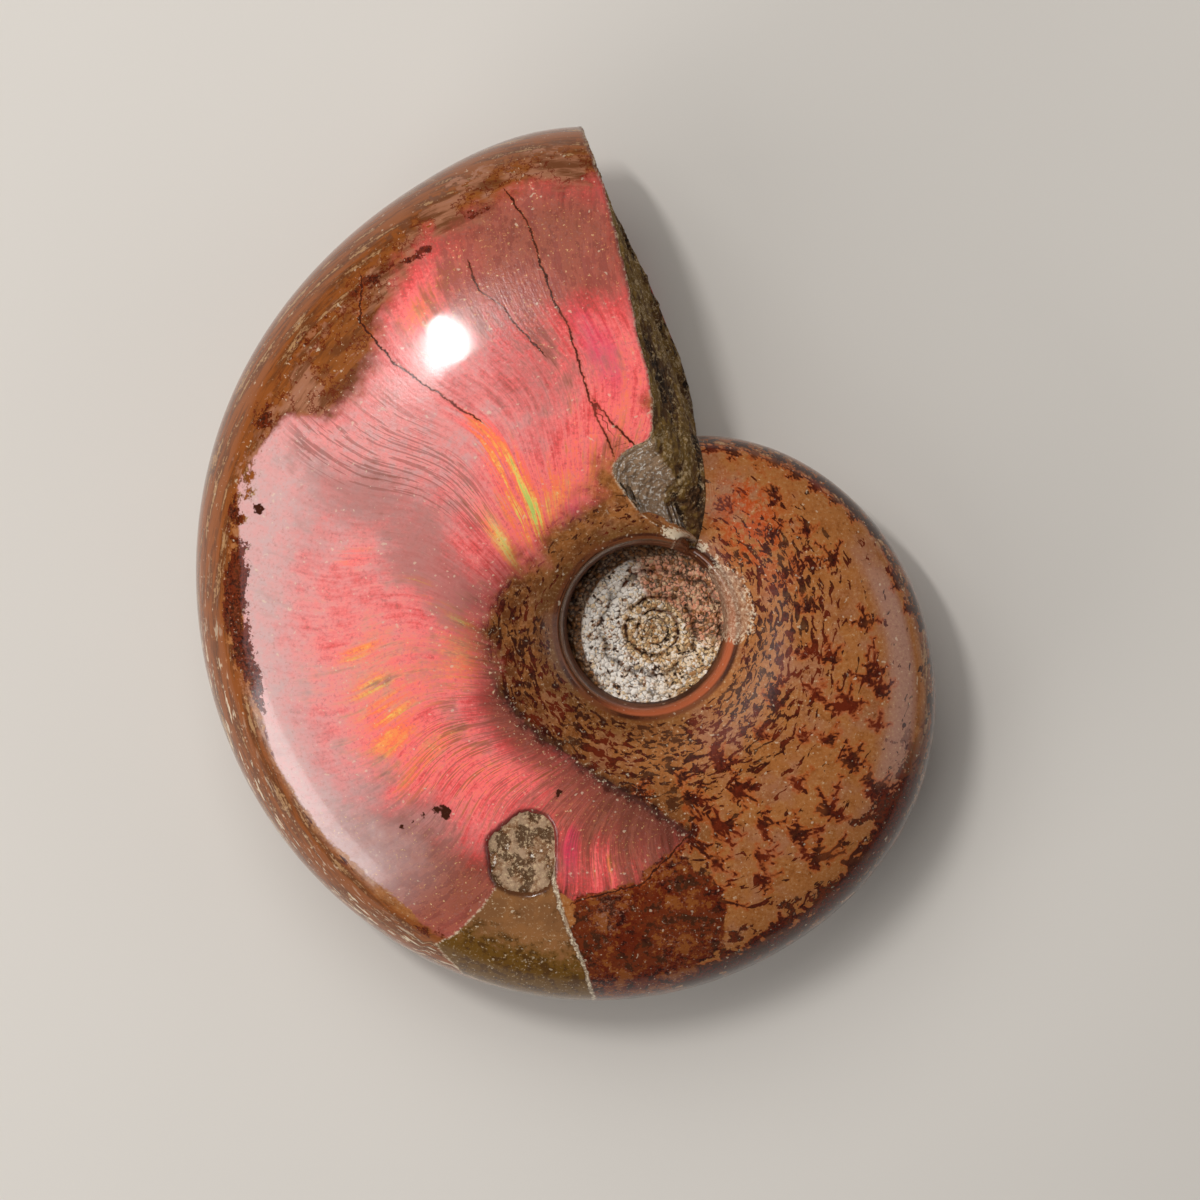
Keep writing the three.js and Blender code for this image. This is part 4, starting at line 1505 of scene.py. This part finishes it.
class AMMONITE_OT_crusts(bpy.types.Operator):
    """Builds the grainy crusts that fill the floors of the two pits"""

    bl_idname = "ammonite.crusts"
    bl_label = "Umbilical crusts"

    OVERLAP = 0.3
    UPPER = (520, 150)
    LOWER = (240, 70)
    SPIRAL_CENTRE = (0.2, -0.6)
    GROOVE_RADIUS = 3.9
    MIDDLE = 0.35
    WANDER = 0.22
    SMALL_GRAIN = 0.55
    UNEVEN = 0.16
    THICKNESS = 1.5

    def execute(self, context):
        groups = settings()
        coil = current_coil()
        upper = self.crust(coil, groups, "umbilical_crust_upper", self.UPPER, 1)
        dress(upper, crust_shader("upper_crust", groups["ammonite_stone"]))
        lower = self.crust(coil, groups, "umbilical_crust_lower", self.LOWER, -1)
        dress(lower, crust_shader("lower_crust", groups["ammonite_stone"]))
        return {"FINISHED"}

    def crust(self, coil, groups, name, counts, side):
        surface = groups["ammonite_surface"]
        angle = np.linspace(0, FULL_TURN, counts[0], endpoint=False)[:, None]
        out = (np.arange(1, counts[1] + 1) / counts[1])[None]
        flat = polar(angle, (coil.floor_radius(angle) + self.OVERLAP) * out, 0.0)
        offset = flat[..., :2] - np.array(self.SPIRAL_CENTRE)
        distance = np.maximum(np.hypot(offset[..., 0], offset[..., 1]), self.MIDDLE)
        bearing = np.degrees(np.arctan2(offset[..., 1], offset[..., 0]))
        wander = self.WANDER * lumps(flat, 2.0, 3)
        turns = np.log(distance / self.GROOVE_RADIUS) / math.log(surface.whorl_growth)
        across = np.mod(turns + bearing / FULL_TURN + wander, 1.0)
        ragged = np.maximum(0.13 + 0.09 * lumps(flat, 0.9, 2, offset=2.0), 0.05)
        broken = 0.7 + 0.3 * smooth_step(lumps(flat, 1.3, 2, offset=6.0), -0.4, 0.3)
        groove = broken * np.exp(-(np.minimum(across, 1 - across) / ragged) ** 2)
        cells, own = grains(flat, surface.grain_size / MM, offset=3.0 * side)
        small, small_own = grains(flat, surface.grain_size / MM * self.SMALL_GRAIN, offset=9.0)
        fade = smooth_step(distance, 0.3, 1.5)
        base = coil.floor_height(angle) * (coil.floor_centre + (1 - coil.floor_centre) * out)
        z = base - surface.whorl_relief / MM * groove * fade
        z = z + surface.grain_height / MM * (cells * 0.8 + small * 0.35 - 0.5)
        z = z + self.UNEVEN * lumps(flat, 1.2, 3)
        grid = flat.copy()
        grid[..., 2] = side * z
        centre_z = side * float(coil.height * coil.floor_centre)
        apex = ((0, 0, centre_z - side * self.THICKNESS), (0, 0, centre_z))
        skirt = grid[:, -1:] - np.array((0, 0, side * self.THICKNESS))
        grid = np.concatenate((grid, skirt), axis=1)
        fields = {
            "grain": np.clip(cells * 0.65 + small * 0.35, 0, 1),
            "own": np.mod(own + small_own * 0.5, 1.0),
            "groove": groove,
            "golden": np.maximum(smooth_step(distance, 3.9, 2.9), 0.8 * towards(bearing, 330)),
            "rosy": towards(bearing, 48) * smooth_step(distance, 2.2, 3.6),
            # Painted shadow and dark grains along the crust's outer edge on the upper left, beside the wall.
            "murky": smooth_step(distance, 6.8, 7.9) * smooth_step(towards(bearing, 150), 0.0, 0.5),
        }
        attributes = {key: np.concatenate((value, value[:, -1:]), axis=1) for key, value in fields.items()}
        return closed_patch(name, coil, grid, apex, attributes, ring=True)


class AMMONITE_OT_window(bpy.types.Operator):
    """Builds the rough stone that shows where the shell has flaked off"""

    bl_idname = "ammonite.window"
    bl_label = "Window in the shell"

    COUNTS = (150, 170)
    ANGLES = (228.0, 251.0)
    SHARES = (0.33, 0.7)
    ROW_STEPS = 2001
    APEX_DEPTH = 3.0
    STANDS = 0.16
    # How much deeper than the window the stone's hidden border lies, and where that border starts.
    BURIED = 0.9
    BORDER = (-0.75, -0.35)

    def execute(self, context):
        groups = settings()
        coil = current_coil()
        angle = np.linspace(*self.ANGLES, self.COUNTS[0])[:, None]
        rows = np.linspace(0, 1, self.ROW_STEPS)
        wanted = np.linspace(*self.SHARES, self.COUNTS[1])
        row = np.interp(wanted, coil.section(rows)[0], rows)[None]
        grid = coil.flank(angle, row, 1.0)
        inside = outline_distance(grid[..., :2], rounded(plan(coil, WINDOW_OUTLINE)))
        bumps = lumps(grid, 1.3, 4)
        sunk = coil.window - self.STANDS * bumps
        keep = smooth_step(inside, *self.BORDER)
        grid[..., 2] -= sunk * keep + (coil.window + self.BURIED) * (1 - keep)
        middle = grid[self.COUNTS[0] // 2, self.COUNTS[1] // 2]
        apex = middle - np.array((0, 0, self.APEX_DEPTH))
        piece = closed_patch("window_stone", coil, grid, apex, {"hollow": np.clip(0.5 - bumps, 0, 1)})
        dress(piece, window_shader(groups["ammonite_stone"]))
        return {"FINISHED"}


class AMMONITE_OT_stage(bpy.types.Operator):
    """Sets up the pale floor, the soft lights and the camera above the fossil"""

    bl_idname = "ammonite.stage"
    bl_label = "Stage"

    FLOOR_HALF = 3.0
    FLOOR_CLOUDS = 60.0
    FLOOR_ROUGHNESS = 0.85
    SENSOR = 36.0
    WORLD_COLOUR = (1.0, 0.98, 0.96, 1.0)
    # Each light's name, shape, azimuth and elevation in degrees, distance and size in metres.
    LAMPS = (
        ("key", "ELLIPSE", 139.5, 64.8, 0.42, (0.018, 0.105)),
        ("soft", "RECTANGLE", 122, 55, 0.6, (0.5, 0.5)),
        ("side", "RECTANGLE", 217, 21, 0.45, (0.26, 0.13)),
        ("fill", "RECTANGLE", 204, 38, 0.6, (0.6, 0.45)),
        ("right", "RECTANGLE", 2, 26, 0.5, (0.42, 0.24)),
    )
    # How far a light is turned about its own axis, in degrees.
    SPINS = {"key": -14.5}
    # Lights that don't show in the polish.
    MATT_LAMPS = ("soft", "fill")

    def execute(self, context):
        stage = settings()["ammonite_stage"]
        pole = Vector(settings()["ammonite_coil"].pole)
        self.floor(stage)
        self.camera(stage, pole)
        for name, *sizes in self.LAMPS:
            self.lamp(name, pole, getattr(stage, name + "_power"), *sizes)
        world = bpy.data.worlds.new("studio")
        world.use_nodes = True
        background = world.node_tree.nodes["Background"]
        background.inputs["Color"].default_value = self.WORLD_COLOUR
        background.inputs["Strength"].default_value = stage.world
        context.scene.world = world
        context.scene.view_settings.view_transform = "Standard"
        return {"FINISHED"}

    def floor(self, stage):
        half = self.FLOOR_HALF
        corners = np.array(((-half, -half, 0), (half, -half, 0), (half, half, 0), (-half, half, 0)))
        piece = mesh_object("studio_floor", corners, [(0, 1, 2, 3)], smooth=False)
        shader = Shader("floor")
        at = shader.places()
        tone = shader.mix(stage.floor, stage.floor_shade, shader.noise(at, self.FLOOR_CLOUDS, 2.0) * 0.4)
        piece.data.materials.append(shader.finish({"Base Color": tone, "Roughness": self.FLOOR_ROUGHNESS}))

    def camera(self, stage, pole):
        lens = bpy.data.cameras.new("above")
        lens.lens = stage.lens
        lens.sensor_width = self.SENSOR
        camera = bpy.data.objects.new("above", lens)
        camera.location = pole + Vector((stage.camera_across, stage.camera_up, stage.camera_height))
        bpy.context.scene.collection.objects.link(camera)
        bpy.context.scene.camera = camera

    def lamp(self, name, pole, power, shape, azimuth, elevation, distance, size):
        """A light that faces the fossil from an azimuth and an elevation."""
        light = bpy.data.lights.new(name, "AREA")
        light.shape = shape
        light.size = size[0]
        light.size_y = size[1]
        light.energy = power
        around, up = math.radians(azimuth), math.radians(elevation)
        way = Vector((math.cos(up) * math.cos(around), math.cos(up) * math.sin(around), math.sin(up)))
        lamp = bpy.data.objects.new(name, light)
        lamp.location = pole + way * distance
        spin = math.radians(self.SPINS.get(name, 0.0))
        turned = way.to_track_quat("Z", "Y") @ Quaternion((0.0, 0.0, 1.0), spin)
        lamp.rotation_euler = turned.to_euler()
        lamp.visible_glossy = name not in self.MATT_LAMPS
        bpy.context.scene.collection.objects.link(lamp)


class AMMONITE_PT_panel(bpy.types.Panel):
    """Lists the pieces of the fossil and its stage"""

    bl_idname = "AMMONITE_PT_panel"
    bl_label = "Polished ammonite"
    bl_space_type = "VIEW_3D"
    bl_region_type = "UI"
    bl_category = "Ammonite"

    def draw(self, context):
        for operator in OPERATORS:
            self.layout.operator(operator.bl_idname)


OPERATORS = (
    AMMONITE_OT_stage,
    AMMONITE_OT_skin,
    AMMONITE_OT_broken_face,
    AMMONITE_OT_crusts,
    AMMONITE_OT_window,
)
CLASSES = (*GROUPS.values(), *OPERATORS, AMMONITE_PT_panel)


def register():
    for cls in CLASSES:
        bpy.utils.register_class(cls)
    for key, group in GROUPS.items():
        setattr(bpy.types.Scene, key, bpy.props.PointerProperty(type=group))


def unregister():
    for key in GROUPS:
        delattr(bpy.types.Scene, key)
    for cls in reversed(CLASSES):
        bpy.utils.unregister_class(cls)


def main():
    """Builds every piece."""
    register()
    for operator in OPERATORS:
        category, name = operator.bl_idname.split(".")
        getattr(getattr(bpy.ops, category), name)()


if __name__ == "__main__":
    main()
